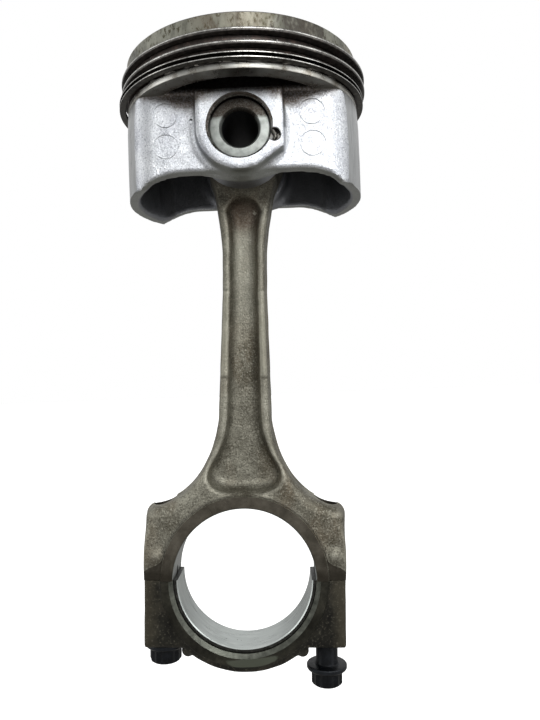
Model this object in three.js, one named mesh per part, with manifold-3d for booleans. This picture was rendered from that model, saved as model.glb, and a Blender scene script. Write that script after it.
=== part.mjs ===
// Engine piston with its rings, wrist pin and connecting rod, as taken out of a worn engine.
// Millimetres. +Z is the cylinder axis with the crown up, +Y is the wrist pin's axis, and the
// origin is the middle of the wrist pin. The rod group hangs from the pin and is swung a little
// to one side, and the right rod bolt is backed out of its thread.
import * as THREE from "three";
import { mergeVertices } from "three/addons/utils/BufferGeometryUtils.js";
import Module from "manifold-3d";

// Cylinder and crown
const BORE_DIAMETER = 86;
const SKIRT_RADIUS = BORE_DIAMETER / 2 - 0.03;
const LAND_RADIUS = SKIRT_RADIUS - 0.4;
const CROWN_TOP = 31.5;
const CROWN_THICKNESS = 7.5;
const CROWN_CHAMFER = 0.5;
const DISH_RADIUS = 27;
const DISH_DEPTH = 1;
const VALVE_POCKET_TILT_DEG = 11;
const VALVE_POCKET_DEPTH = 1.6;
const VALVE_CUTTER_HEIGHT = 8;
const VALVE_X = 18.5;
const INTAKE_Y = 16;
const INTAKE_RADIUS = 14.8;
const EXHAUST_Y = 14.5;
const EXHAUST_RADIUS = 12.5;

// Ring belt: heights of the groove floors and the grooves' widths
const RING_HEIGHT = 1.2;
const RAIL_HEIGHT = 0.45;
const SIDE_CLEARANCE = 0.05;
const TOP_GROOVE_FLOOR = 23.75;
const SECOND_GROOVE_FLOOR = 19.65;
const OIL_GROOVE_FLOOR = 15.25;
const OIL_GROOVE_WIDTH = 2.1;
const BELT_BOTTOM = 13.2;
const BELT_CHAMFER = 0.6;
const GROOVE_ROOT_RADIUS = 38.5;
const BELT_WALL = 6.5;
const BELT_LEDGE = 2;
const POCKET_ROOF = 20.5;
const DRAIN_HOLE_RADIUS = 1.1;
const DRAIN_FROM_RADIUS = 32;
const DRAIN_ANGLES_DEG = [-24, -8, 8, 24];

// Rings lie in their free state, wider than the bore and a little off centre
const RING_FREE_RADIUS = 45.2;
const TOP_RING_DEPTH = 3.1;
const SECOND_RING_DEPTH = 3.5;
const TOP_RING_GAP_DEG = 70;
const SECOND_RING_GAP_DEG = 115;
const RING_OFFSET_X = 0.6;
const RING_GAP = 9;
const RAIL_FREE_RADIUS = 45.3;
const RAIL_DEPTH = 2.1;
const UPPER_RAIL_GAP_DEG = 55;
const LOWER_RAIL_GAP_DEG = 80;
const RAIL_OFFSET_X = -0.3;
const EXPANDER_RADIUS = 41.4;
const EXPANDER_WAVE = 0.8;
const EXPANDER_WAVES = 30;
const EXPANDER_DEPTH = 1;
const EXPANDER_GAP = 0.4;

// Skirt, side panels and pin bosses
const SKIRT_BOTTOM = -18.3;
const SKIRT_WALL = 3.4;
const PANEL_Y = 25.7;
const PANEL_WALL = 3;
const PANEL_CORNER = 9.36;
const PANEL_FLAT_X = 29.5;
const PANEL_ARCH_TOP = -13.1;
const PANEL_ARCH_FLAT_X = 20;
const PANEL_ARCH_RADIUS = 25;
const ARCH_CUT_FROM_Y = 15.8;
const BOSS_RADIUS = 16.2;
const BOSS_INNER_Y = 12.5;
const BOSS_OUTER_Y = 31;
const BOSS_ROUNDING = 3;
const PAD_HALF_WIDTH = 14.7;
const PILLAR_HALF_WIDTH = 11;
const PILLAR_TOP = 27.5;
const BORE_CHAMFER = 0.5;

// Wrist pin and its clips
const PIN_RADIUS = 10.5;
const PIN_HOLE_RADIUS = 6.1;
const PIN_LENGTH = 57;
const PIN_CHAMFER = 0.7;
const RUNNING_CLEARANCE = 0.06;
const CLIP_WIRE = 1.4;
const CLIP_RADIUS = 10.95;
const CLIP_OPEN_DEG = 50;
const CLIP_TURN_DEG = -30;
const CLIP_SIDE_GAP = 0.1;
const CLIP_Y = PIN_LENGTH / 2 + CLIP_WIRE / 2 + CLIP_SIDE_GAP;
const CLIP_GROOVE_RADIUS = 11.8;
const CLIP_NOTCH_RADIUS = 2.1;
const CLIP_NOTCH = { x: 11.5, z: -3.6 };

// Connecting rod, measured in its own frame: pin at the origin, crank end straight below
const ROD_SWING_DEG = 1.85;
const ROD_LENGTH = 155.5;
const EYE_RADIUS = 15.1;
const EYE_HALF_WIDTH = 10.6;
const BUSH_WALL = 1.5;
const BUSH_INSET = 0.3;
const PRESS_GAP = 0.04;
const BEAM_HALF_WIDTH = 8;
const BEAM_HALF_WIDTH_LOW = 9.6;
const BEAM_HALF_THICK = 7.6;
const WEB_HALF_THICK = 2;
const SHOULDER_HALF_THICK = 8.9;
const SHOULDER_X = 36.4;
const SHOULDER_TOP = 26;
const SHOULDER_CORNER = 4;
const SHOULDER_ZONE_TOP = 44;
const HOUSING_RADIUS = 25.5;
const THRUST_RING_RADIUS = 29.8;
const THRUST_HALF_WIDTH = 10.3;
const PARTING_GAP = 0.06;
const CAP_RADIUS = 32.4;
const CAP_PAD_X = 22.4;
const CAP_PAD_BOTTOM = 24;
const SHELL_WALL = 1.45;
const SHELL_HALF_WIDTH = 8.6;

// Right flank of the rod as [x, height above the crank centre], from the shoulder up to the eye
const FLANK = {
  lowBend: [19, 29],
  highBend: [11.5, 42],
  beamFoot: [BEAM_HALF_WIDTH_LOW, 57],
  beamWaist: [BEAM_HALF_WIDTH, 104],
  flareFoot: [BEAM_HALF_WIDTH, 118.5],
  flareBend: [8.3, 126.5],
  flareTop: [11.5, 144.5],
};

// Right half of the pocket in the beam, from its floor up to its crown
const POCKET = {
  floor: [6, 30.8],
  cornerLowBend: [13, 31.5],
  cornerHighBend: [15.5, 36],
  corner: [11.5, 42],
  neckBend: [6.2, 50],
  neck: [6.1, 60],
  waistFoot: [5.1, 100],
  waistTop: [5.1, 121],
  headBend: [5.2, 130],
  head: [6.5, 133],
  crownBend: [5.5, 138],
  crown: [0, 138.3],
};

// Rod bolts
const BOLT_X = 29.6;
const BOLT_RADIUS = 4;
const BOLT_HOLE_RADIUS = 4.3;
const BOLT_TIP = 24.5;
const BOLT_FLANGE_RADIUS = 7.35;
const BOLT_FLANGE_HEIGHT = 2.2;
const BOLT_HEAD_RADIUS = 5.85;
const BOLT_HEAD_HEIGHT = 5.1;
const BOLT_CHAMFER = 0.6;
const BOLT_TIP_CHAMFER = 1;
const BOLT_VALLEY = 0.89;
const BOLT_POINTS = 12;
const BOLT_SEAT_GAP = 0.05;
const LOOSE_BOLT_OUT = 8.4;
const BOLT_HOLE_REACH = 50;

// Facets round a full circle
const BELT_SEGMENTS = 60;
const BORE_SEGMENTS = 40;
const BOLT_SEGMENTS = 24;
const SMALL_SEGMENTS = 16;
const DRAIN_SEGMENTS = 8;
const SKIRT_CURVE_STEPS = 10;
const ROD_CURVE_STEPS = 8;
const POCKET_CURVE_STEPS = 6;
const CAP_CURVE_STEPS = 24;

// How far cutters reach past the surface they open, and half the length of those that go right
// through the rod or the cap along Y
const OVERCUT = 1;
const THROUGH = 20;

const wasm = await Module();
wasm.setup();

const degrees = THREE.MathUtils.degToRad;

// Turns a closed three.js geometry into a solid that can be joined and cut.
function solid(geometry) {
  const bare = geometry.clone();
  bare.deleteAttribute("normal");
  bare.deleteAttribute("uv");
  const merged = mergeVertices(bare, 1e-4);
  return new wasm.Manifold(
    new wasm.Mesh({
      numProp: 3,
      vertProperties: merged.attributes.position.array,
      triVerts: new Uint32Array(merged.index.array),
    }),
  );
}

function geometryOf(body) {
  const mesh = body.getMesh();
  const geometry = new THREE.BufferGeometry();
  geometry.setAttribute("position", new THREE.BufferAttribute(mesh.vertProperties, 3));
  geometry.setIndex(new THREE.BufferAttribute(mesh.triVerts, 1));
  return geometry;
}

// A solid turned about Z from [radius, height] pairs that run up the outside.
function turned(profile, segments = BORE_SEGMENTS) {
  const points = profile.map(([radius, height]) => new THREE.Vector2(radius, height));
  return solid(new THREE.LatheGeometry(points, segments).rotateX(Math.PI / 2));
}

// The same, turned about Y, with the heights running along +Y.
function turnedAlongY(profile, segments = BORE_SEGMENTS) {
  const points = profile.map(([radius, height]) => new THREE.Vector2(radius, height));
  return solid(new THREE.LatheGeometry(points, segments));
}

// A plain round bar about Y, or about Z.
function barY(radius, from, to, segments = BORE_SEGMENTS) {
  return turnedAlongY([[0, from], [radius, from], [radius, to], [0, to]], segments);
}

function barZ(radius, from, to, segments = BORE_SEGMENTS) {
  return turned([[0, from], [radius, from], [radius, to], [0, to]], segments);
}

// An outline drawn in X and Y, raised from one height to another.
function raised(shape, from, to, curveSegments = 12) {
  const options = { depth: to - from, bevelEnabled: false, curveSegments };
  return solid(new THREE.ExtrudeGeometry(shape, options).translate(0, 0, from));
}

// An outline drawn in X and Z, filled from one Y to another.
function across(shape, from, to, curveSegments = 12) {
  const options = { depth: to - from, bevelEnabled: false, curveSegments };
  const geometry = new THREE.ExtrudeGeometry(shape, options).rotateX(Math.PI / 2);
  return solid(geometry.translate(0, to, 0));
}

function block(low, high) {
  const size = high.map((value, i) => value - low[i]);
  const middle = high.map((value, i) => (value + low[i]) / 2);
  return solid(new THREE.BoxGeometry(...size).translate(...middle));
}

function joined(...bodies) {
  return bodies.reduce((whole, body) => whole.add(body));
}

function without(body, ...cuts) {
  return cuts.reduce((rest, cut) => rest.subtract(cut), body);
}

// Plan outline of skirt and panels: two arcs on the thrust sides, joined by flat panels whose
// corners curve in to the skirt's edges.
function skirtPlan(arcRadius, panelY, cornerRadius) {
  const shape = new THREE.Shape();
  const centreX = PANEL_FLAT_X;
  const centreY = panelY - cornerRadius;
  const reach = Math.hypot(centreX, centreY);
  const toCentre = Math.atan2(centreY, centreX);
  const cosine = (arcRadius ** 2 + reach ** 2 - cornerRadius ** 2) / (2 * arcRadius * reach);
  const edge = toCentre - Math.acos(cosine);
  const edgeX = arcRadius * Math.cos(edge);
  const edgeY = arcRadius * Math.sin(edge);
  const start = Math.atan2(edgeY - centreY, edgeX - centreX);
  shape.absarc(0, 0, arcRadius, -edge, edge, false);
  shape.absarc(centreX, centreY, cornerRadius, start, Math.PI / 2, false);
  shape.absarc(-centreX, centreY, cornerRadius, Math.PI / 2, Math.PI - start, false);
  shape.absarc(0, 0, arcRadius, Math.PI - edge, Math.PI + edge, false);
  shape.absarc(-centreX, -centreY, cornerRadius, Math.PI + start, 1.5 * Math.PI, false);
  shape.absarc(centreX, -centreY, cornerRadius, 1.5 * Math.PI, 2 * Math.PI - start, false);
  return shape;
}

// Everything below the arched lower edge of the side panels.
function archShape() {
  const shape = new THREE.Shape();
  const radius = PANEL_ARCH_RADIUS;
  const drop = PANEL_ARCH_TOP - SKIRT_BOTTOM + OVERCUT;
  const reach = Math.acos((radius - drop) / radius);
  const centreZ = PANEL_ARCH_TOP - radius;
  const upright = Math.PI / 2;
  shape.absarc(PANEL_ARCH_FLAT_X, centreZ, radius, upright - reach, upright, false);
  shape.absarc(-PANEL_ARCH_FLAT_X, centreZ, radius, upright, upright + reach, false);
  return shape;
}

// Raised pad round the pin hole: straight sides, round bottom.
function padShape() {
  const shape = new THREE.Shape();
  shape.moveTo(PAD_HALF_WIDTH, BELT_BOTTOM);
  shape.lineTo(-PAD_HALF_WIDTH, BELT_BOTTOM);
  shape.absarc(0, 0, PAD_HALF_WIDTH, Math.PI, 2 * Math.PI, false);
  return shape;
}

// Ring belt as turned: crown, lands and the three grooves.
function ringBelt() {
  const oilGrooveTop = OIL_GROOVE_FLOOR + OIL_GROOVE_WIDTH;
  const ringGroove = RING_HEIGHT + 2 * SIDE_CLEARANCE;
  return turned(
    [
      [0, BELT_BOTTOM],
      [LAND_RADIUS - BELT_CHAMFER, BELT_BOTTOM],
      [LAND_RADIUS, BELT_BOTTOM + BELT_CHAMFER],
      [LAND_RADIUS, OIL_GROOVE_FLOOR],
      [GROOVE_ROOT_RADIUS, OIL_GROOVE_FLOOR],
      [GROOVE_ROOT_RADIUS, oilGrooveTop],
      [LAND_RADIUS, oilGrooveTop],
      [LAND_RADIUS, SECOND_GROOVE_FLOOR],
      [GROOVE_ROOT_RADIUS, SECOND_GROOVE_FLOOR],
      [GROOVE_ROOT_RADIUS, SECOND_GROOVE_FLOOR + ringGroove],
      [LAND_RADIUS, SECOND_GROOVE_FLOOR + ringGroove],
      [LAND_RADIUS, TOP_GROOVE_FLOOR],
      [GROOVE_ROOT_RADIUS, TOP_GROOVE_FLOOR],
      [GROOVE_ROOT_RADIUS, TOP_GROOVE_FLOOR + ringGroove],
      [LAND_RADIUS, TOP_GROOVE_FLOOR + ringGroove],
      [LAND_RADIUS, CROWN_TOP - CROWN_CHAMFER],
      [LAND_RADIUS - CROWN_CHAMFER, CROWN_TOP],
      [DISH_RADIUS + DISH_DEPTH, CROWN_TOP],
      [DISH_RADIUS, CROWN_TOP - DISH_DEPTH],
      [0, CROWN_TOP - DISH_DEPTH],
    ],
    BELT_SEGMENTS,
  );
}

// Cutters that clear the four valve heads, leaned towards the crown's edge.
function valvePockets() {
  const valves = [
    { x: VALVE_X, y: INTAKE_Y, radius: INTAKE_RADIUS },
    { x: VALVE_X, y: -INTAKE_Y, radius: INTAKE_RADIUS },
    { x: -VALVE_X, y: EXHAUST_Y, radius: EXHAUST_RADIUS },
    { x: -VALVE_X, y: -EXHAUST_Y, radius: EXHAUST_RADIUS },
  ];
  return valves.map(({ x, y, radius }) => {
    const height = VALVE_CUTTER_HEIGHT;
    const cutter = new THREE.CylinderGeometry(radius, radius, height, BOLT_SEGMENTS);
    cutter.rotateX(Math.PI / 2).translate(0, 0, height / 2);
    cutter.rotateY(Math.sign(x) * degrees(VALVE_POCKET_TILT_DEG));
    return solid(cutter.translate(x, y, CROWN_TOP - VALVE_POCKET_DEPTH));
  });
}

// Crescent pocket cast up between the belt and a side panel; side is 1 or -1 along Y.
function crescentPocket(side) {
  const radius = LAND_RADIUS - BELT_WALL;
  const edge = Math.asin(PANEL_Y / radius);
  const shape = new THREE.Shape();
  shape.absarc(0, 0, radius, edge, Math.PI - edge, false);
  const pocket = raised(shape, BELT_BOTTOM - OVERCUT, POCKET_ROOF);
  return side > 0 ? pocket : pocket.rotate([0, 0, 180]);
}

function pinBoss(side) {
  const inner = BOSS_INNER_Y;
  const outer = BOSS_OUTER_Y;
  const rounded = turnedAlongY([
    [0, inner],
    [BOSS_RADIUS, inner],
    [BOSS_RADIUS, outer - BOSS_ROUNDING],
    [BOSS_RADIUS - BOSS_ROUNDING / 2, outer - BOSS_ROUNDING / 2],
    [BOSS_RADIUS - 2 * BOSS_ROUNDING, outer],
    [0, outer],
  ]);
  const belowBelt = block([-THROUGH, 0, -THROUGH], [THROUGH, 2 * THROUGH, BELT_BOTTOM]);
  const pillarBack = PANEL_Y - OVERCUT;
  const pillar = block([-PILLAR_HALF_WIDTH, inner, 0], [PILLAR_HALF_WIDTH, pillarBack, PILLAR_TOP]);
  const pad = across(padShape(), PANEL_Y - PANEL_WALL, outer);
  const boss = joined(rounded.intersect(belowBelt), pillar, pad);
  return side > 0 ? boss : boss.rotate([0, 0, 180]);
}

// Cutter for the pin bore, the clip groove and the bore's outer chamfer, on one side.
function pinBoreCut(side) {
  const bore = PIN_RADIUS + RUNNING_CLEARANCE;
  const half = CLIP_WIRE / 2 + CLIP_SIDE_GAP;
  const cut = turnedAlongY([
    [0, 0],
    [bore, 0],
    [bore, CLIP_Y - half],
    [CLIP_GROOVE_RADIUS, CLIP_Y - half],
    [CLIP_GROOVE_RADIUS, CLIP_Y + half],
    [bore, CLIP_Y + half],
    [bore, BOSS_OUTER_Y - BORE_CHAMFER],
    [bore + 2 * BORE_CHAMFER, BOSS_OUTER_Y + BORE_CHAMFER],
    [0, BOSS_OUTER_Y + BORE_CHAMFER],
  ]);
  const whole = side > 0 ? cut : cut.rotate([0, 0, 180]);
  const notchFrom = CLIP_Y - half;
  const notch = barY(CLIP_NOTCH_RADIUS, notchFrom, BOSS_OUTER_Y + OVERCUT, SMALL_SEGMENTS);
  const placed = notch.translate([CLIP_NOTCH.x, 0, CLIP_NOTCH.z]);
  return whole.add(side > 0 ? placed : placed.mirror([0, 1, 0]));
}

// Round holes from the oil groove's root into the hollow of the piston.
function oilDrains() {
  const drains = [];
  const height = OIL_GROOVE_FLOOR + OIL_GROOVE_WIDTH / 2;
  const inner = DRAIN_FROM_RADIUS;
  const outer = GROOVE_ROOT_RADIUS + OVERCUT;
  for (const base of [0, 180]) {
    for (const angle of DRAIN_ANGLES_DEG) {
      const hole = barY(DRAIN_HOLE_RADIUS, inner, outer, DRAIN_SEGMENTS);
      drains.push(hole.translate([0, 0, height]).rotate([0, 0, base + angle - 90]));
    }
  }
  return drains;
}

function pistonBody() {
  const outside = skirtPlan(SKIRT_RADIUS, PANEL_Y, PANEL_CORNER);
  const walls = raised(outside, SKIRT_BOTTOM, BELT_BOTTOM + OVERCUT, SKIRT_CURVE_STEPS);
  const cornerInside = PANEL_CORNER - PANEL_WALL;
  const hollowPlan = skirtPlan(SKIRT_RADIUS - SKIRT_WALL, PANEL_Y - PANEL_WALL, cornerInside);
  const roof = CROWN_TOP - CROWN_THICKNESS;
  const below = SKIRT_BOTTOM - OVERCUT;
  const beltClear = barZ(LAND_RADIUS - BELT_WALL, SKIRT_BOTTOM, roof, BELT_SEGMENTS);
  const skirtClear = barZ(SKIRT_RADIUS, below, BELT_BOTTOM - BELT_LEDGE, BELT_SEGMENTS);
  const hollow = raised(hollowPlan, below, roof, SKIRT_CURVE_STEPS);
  const shell = without(
    joined(ringBelt(), walls),
    hollow.intersect(joined(beltClear, skirtClear)),
    crescentPocket(1),
    crescentPocket(-1),
    across(archShape(), -PANEL_Y - OVERCUT, -ARCH_CUT_FROM_Y),
    across(archShape(), ARCH_CUT_FROM_Y, PANEL_Y + OVERCUT),
  );
  return without(
    joined(shell, pinBoss(1), pinBoss(-1)),
    pinBoreCut(1),
    pinBoreCut(-1),
    ...valvePockets(),
    ...oilDrains(),
  );
}

// A split ring of rectangular section, with its gap turned to the given angle from +X.
function splitRing(outer, depth, floor, height, gapAngle) {
  const inner = outer - depth;
  const top = floor + height;
  const section = [
    [inner, floor],
    [outer, floor],
    [outer, top],
    [inner, top],
    [inner, floor],
  ];
  const ring = turned(section, BELT_SEGMENTS);
  const half = RING_GAP / 2;
  const gap = block([0, -half, floor - OVERCUT], [outer + OVERCUT, half, top + OVERCUT]);
  return ring.subtract(gap.rotate([0, 0, gapAngle]));
}

// Oil ring expander: a wavy strip that holds the two rails apart.
function oilExpander() {
  const waves = (radius, backwards) => {
    const points = [];
    const steps = EXPANDER_WAVES * 4;
    for (let i = 0; i < steps; i++) {
      const angle = (2 * Math.PI * i) / steps;
      const wave = radius + (EXPANDER_WAVE / 2) * Math.sin((2 * Math.PI * (i + 0.5)) / 4);
      points.push(new THREE.Vector2(wave * Math.cos(angle), wave * Math.sin(angle)));
    }
    return backwards ? points.reverse() : points;
  };
  const middle = EXPANDER_RADIUS - EXPANDER_DEPTH / 2 - EXPANDER_WAVE / 2;
  const shape = new THREE.Shape(waves(middle + EXPANDER_DEPTH / 2, false));
  shape.holes.push(new THREE.Path(waves(middle - EXPANDER_DEPTH / 2, true)));
  const floor = OIL_GROOVE_FLOOR + 2 * SIDE_CLEARANCE + RAIL_HEIGHT;
  const top = OIL_GROOVE_FLOOR + OIL_GROOVE_WIDTH - 2 * SIDE_CLEARANCE - RAIL_HEIGHT;
  const half = EXPANDER_GAP / 2;
  const gap = block([-half, 0, floor - OVERCUT], [half, SKIRT_RADIUS, top + OVERCUT]);
  return raised(shape, floor, top).subtract(gap);
}

function wristPin() {
  const end = PIN_LENGTH / 2;
  const mouth = PIN_HOLE_RADIUS + PIN_CHAMFER;
  return turnedAlongY([
    [PIN_HOLE_RADIUS, -end + PIN_CHAMFER],
    [mouth, -end],
    [PIN_RADIUS - PIN_CHAMFER, -end],
    [PIN_RADIUS, -end + PIN_CHAMFER],
    [PIN_RADIUS, end - PIN_CHAMFER],
    [PIN_RADIUS - PIN_CHAMFER, end],
    [mouth, end],
    [PIN_HOLE_RADIUS, end - PIN_CHAMFER],
    [PIN_HOLE_RADIUS, -end + PIN_CHAMFER],
  ]);
}

// An open round-wire clip; its opening faces up and away from the notch.
function pinCircleClip(side) {
  class ClipLine extends THREE.Curve {
    getPoint(t, target = new THREE.Vector3()) {
      const start = degrees(CLIP_OPEN_DEG / 2 + CLIP_TURN_DEG);
      const angle = start + t * degrees(360 - CLIP_OPEN_DEG);
      return target.set(CLIP_RADIUS * Math.cos(angle), side * CLIP_Y, CLIP_RADIUS * Math.sin(angle));
    }
  }
  const section = new THREE.Shape().absarc(0, 0, CLIP_WIRE / 2, 0, 2 * Math.PI, false);
  const options = { extrudePath: new ClipLine(), steps: 22, curveSegments: 3, bevelEnabled: false };
  return solid(new THREE.ExtrudeGeometry(section, options));
}

const mirrored = ([x, height]) => [-x, height];

// Outline of the rod's beam and shoulders above the parting line, crank centre at the origin.
function rodOutline() {
  const shape = new THREE.Shape();
  const { lowBend, highBend, beamFoot, beamWaist, flareFoot, flareBend, flareTop } = FLANK;
  const cornerX = SHOULDER_X - SHOULDER_CORNER;
  const cornerZ = SHOULDER_TOP - SHOULDER_CORNER;
  const upright = Math.PI / 2;
  shape.moveTo(SHOULDER_X, PARTING_GAP / 2);
  shape.lineTo(SHOULDER_X, cornerZ);
  shape.absarc(cornerX, cornerZ, SHOULDER_CORNER, 0, upright, false);
  shape.bezierCurveTo(...lowBend, ...highBend, ...beamFoot);
  shape.lineTo(...beamWaist);
  shape.lineTo(...flareFoot);
  shape.quadraticCurveTo(...flareBend, ...flareTop);
  shape.lineTo(...mirrored(flareTop));
  shape.quadraticCurveTo(...mirrored(flareBend), ...mirrored(flareFoot));
  shape.lineTo(...mirrored(beamWaist));
  shape.lineTo(...mirrored(beamFoot));
  shape.bezierCurveTo(...mirrored(highBend), ...mirrored(lowBend), -cornerX, SHOULDER_TOP);
  shape.absarc(-cornerX, cornerZ, SHOULDER_CORNER, upright, Math.PI, false);
  shape.lineTo(-SHOULDER_X, PARTING_GAP / 2);
  return shape;
}

// The long pocket pressed into each face of the beam.
function beamPocket() {
  const shape = new THREE.Shape();
  const { floor, cornerLowBend, cornerHighBend, corner, neckBend, neck } = POCKET;
  const { waistFoot, waistTop, headBend, head, crownBend, crown } = POCKET;
  shape.moveTo(...mirrored(floor));
  shape.lineTo(...floor);
  shape.bezierCurveTo(...cornerLowBend, ...cornerHighBend, ...corner);
  shape.quadraticCurveTo(...neckBend, ...neck);
  shape.lineTo(...waistFoot);
  shape.lineTo(...waistTop);
  shape.quadraticCurveTo(...headBend, ...head);
  shape.quadraticCurveTo(...crownBend, ...crown);
  shape.quadraticCurveTo(...mirrored(crownBend), ...mirrored(head));
  shape.quadraticCurveTo(...mirrored(headBend), ...mirrored(waistTop));
  shape.lineTo(...mirrored(waistFoot));
  shape.lineTo(...mirrored(neck));
  shape.quadraticCurveTo(...mirrored(neckBend), ...mirrored(corner));
  shape.bezierCurveTo(...mirrored(cornerHighBend), ...mirrored(cornerLowBend), ...mirrored(floor));
  return shape;
}

// Bolt holes run along the rod; x is the bolt's place.
function boltHole(x) {
  const hole = barZ(BOLT_HOLE_RADIUS, -BOLT_HOLE_REACH, BOLT_HOLE_REACH, SMALL_SEGMENTS);
  return hole.translate([x, 0, 0]);
}

// A slice right across the crank end between two heights.
function slice(from, to) {
  return block([-SHOULDER_X, -THROUGH, from], [SHOULDER_X, THROUGH, to]);
}

// The rod above the parting line, crank centre at the origin.
function connectingRod() {
  const above = slice(PARTING_GAP / 2, SHOULDER_ZONE_TOP);
  const thick = SHOULDER_HALF_THICK;
  const beam = across(rodOutline(), -BEAM_HALF_THICK, BEAM_HALF_THICK, ROD_CURVE_STEPS);
  const shoulders = across(rodOutline(), -thick, thick, ROD_CURVE_STEPS).intersect(above);
  const thrustRing = barY(THRUST_RING_RADIUS, -THRUST_HALF_WIDTH, THRUST_HALF_WIDTH).intersect(above);
  const eye = barY(EYE_RADIUS, -EYE_HALF_WIDTH, EYE_HALF_WIDTH).translate([0, 0, ROD_LENGTH]);
  const eyeBore = barY(PIN_RADIUS + RUNNING_CLEARANCE + BUSH_WALL + PRESS_GAP, -THROUGH, THROUGH);
  return without(
    joined(beam, shoulders, thrustRing, eye),
    across(beamPocket(), WEB_HALF_THICK, THROUGH, POCKET_CURVE_STEPS),
    across(beamPocket(), -THROUGH, -WEB_HALF_THICK, POCKET_CURVE_STEPS),
    barY(HOUSING_RADIUS, -THROUGH, THROUGH, BELT_SEGMENTS),
    eyeBore.translate([0, 0, ROD_LENGTH]),
    boltHole(BOLT_X),
    boltHole(-BOLT_X),
  );
}

// The cap below the parting line, crank centre at the origin.
function rodCap() {
  const shape = new THREE.Shape();
  const round = Math.asin((CAP_PAD_BOTTOM - 0.5) / CAP_RADIUS);
  shape.moveTo(-SHOULDER_X, -PARTING_GAP / 2);
  shape.lineTo(-SHOULDER_X, -CAP_PAD_BOTTOM);
  shape.lineTo(-CAP_PAD_X, -CAP_PAD_BOTTOM);
  shape.absarc(0, 0, CAP_RADIUS, Math.PI + round, 2 * Math.PI - round, false);
  shape.lineTo(CAP_PAD_X, -CAP_PAD_BOTTOM);
  shape.lineTo(SHOULDER_X, -CAP_PAD_BOTTOM);
  shape.lineTo(SHOULDER_X, -PARTING_GAP / 2);
  const body = across(shape, -SHOULDER_HALF_THICK, SHOULDER_HALF_THICK, CAP_CURVE_STEPS);
  const below = slice(-CAP_RADIUS, -PARTING_GAP / 2);
  const thrustRing = barY(THRUST_RING_RADIUS, -THRUST_HALF_WIDTH, THRUST_HALF_WIDTH).intersect(below);
  return without(
    joined(body, thrustRing),
    barY(HOUSING_RADIUS, -THROUGH, THROUGH, BELT_SEGMENTS),
    boltHole(BOLT_X),
    boltHole(-BOLT_X),
  );
}

// Lower half of the crank bearing, crank centre at the origin.
function bearingShell() {
  const outer = HOUSING_RADIUS - PRESS_GAP;
  const tube = without(
    barY(outer, -SHELL_HALF_WIDTH, SHELL_HALF_WIDTH, BELT_SEGMENTS),
    barY(outer - SHELL_WALL, -THROUGH, THROUGH, BELT_SEGMENTS),
  );
  return tube.intersect(slice(-CAP_RADIUS, -PARTING_GAP / 2));
}

// Twelve-point flange bolt about Z with its seat face at height zero and the head below.
function rodBolt() {
  const star = new THREE.Shape();
  for (let i = 0; i < 2 * BOLT_POINTS; i++) {
    const radius = i % 2 ? BOLT_HEAD_RADIUS * BOLT_VALLEY : BOLT_HEAD_RADIUS;
    const angle = (Math.PI * i) / BOLT_POINTS;
    const point = [radius * Math.cos(angle), radius * Math.sin(angle)];
    if (i === 0) star.moveTo(...point);
    else star.lineTo(...point);
  }
  const head = raised(star, -BOLT_FLANGE_HEIGHT - BOLT_HEAD_HEIGHT, -BOLT_FLANGE_HEIGHT / 2);
  const tip = CAP_PAD_BOTTOM + BOLT_TIP;
  const shank = turned(
    [
      [0, -BOLT_FLANGE_HEIGHT],
      [BOLT_FLANGE_RADIUS, -BOLT_FLANGE_HEIGHT],
      [BOLT_FLANGE_RADIUS, -BOLT_CHAMFER],
      [BOLT_FLANGE_RADIUS - BOLT_CHAMFER, 0],
      [BOLT_RADIUS, 0],
      [BOLT_RADIUS, tip - BOLT_TIP_CHAMFER],
      [BOLT_RADIUS - BOLT_TIP_CHAMFER, tip],
      [0, tip],
    ],
    BOLT_SEGMENTS,
  );
  return head.add(shank);
}

const finishes = {
  castAluminium: { color: 0xc9ccca, roughness: 0.45, metalness: 0.9 },
  ringIron: { color: 0x2c2e2e, roughness: 0.4, metalness: 0.9 },
  railSteel: { color: 0x5d605e, roughness: 0.35, metalness: 0.95 },
  pinSteel: { color: 0xb4b7b4, roughness: 0.3, metalness: 1 },
  springSteel: { color: 0x6a6d6b, roughness: 0.35, metalness: 1 },
  bronze: { color: 0x9a7a4a, roughness: 0.4, metalness: 0.9 },
  forgedSteel: { color: 0x5a564a, roughness: 0.6, metalness: 0.7 },
  capSteel: { color: 0x33332c, roughness: 0.55, metalness: 0.7 },
  bearingMetal: { color: 0xc4cac6, roughness: 0.35, metalness: 0.8 },
  blackOxide: { color: 0x1a1d20, roughness: 0.4, metalness: 0.7 },
};

function part(name, body, finish) {
  const mesh = new THREE.Mesh(geometryOf(body), new THREE.MeshStandardMaterial(finishes[finish]));
  mesh.name = name;
  return mesh;
}

// A ring is built round its own middle and then laid off centre in its groove.
function laidRing(name, body, finish, offset) {
  const mesh = part(name, body, finish);
  mesh.position.x = offset;
  return mesh;
}

function crankEnd() {
  const group = new THREE.Group();
  group.position.z = -ROD_LENGTH;
  const left = part("rod_bolt_left", rodBolt(), "blackOxide");
  left.position.set(-BOLT_X, 0, -CAP_PAD_BOTTOM - BOLT_SEAT_GAP);
  const right = part("rod_bolt_right", rodBolt(), "blackOxide");
  right.position.set(BOLT_X, 0, -CAP_PAD_BOTTOM - BOLT_SEAT_GAP - LOOSE_BOLT_OUT);
  group.add(
    part("connecting_rod", connectingRod(), "forgedSteel"),
    part("rod_cap", rodCap(), "capSteel"),
    part("lower_bearing_shell", bearingShell(), "bearingMetal"),
    left,
    right,
  );
  return group;
}

function smallEndBush() {
  const bore = PIN_RADIUS + RUNNING_CLEARANCE;
  const half = EYE_HALF_WIDTH - BUSH_INSET;
  return barY(bore + BUSH_WALL, -half, half).subtract(barY(bore, -THROUGH, THROUGH));
}

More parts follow.
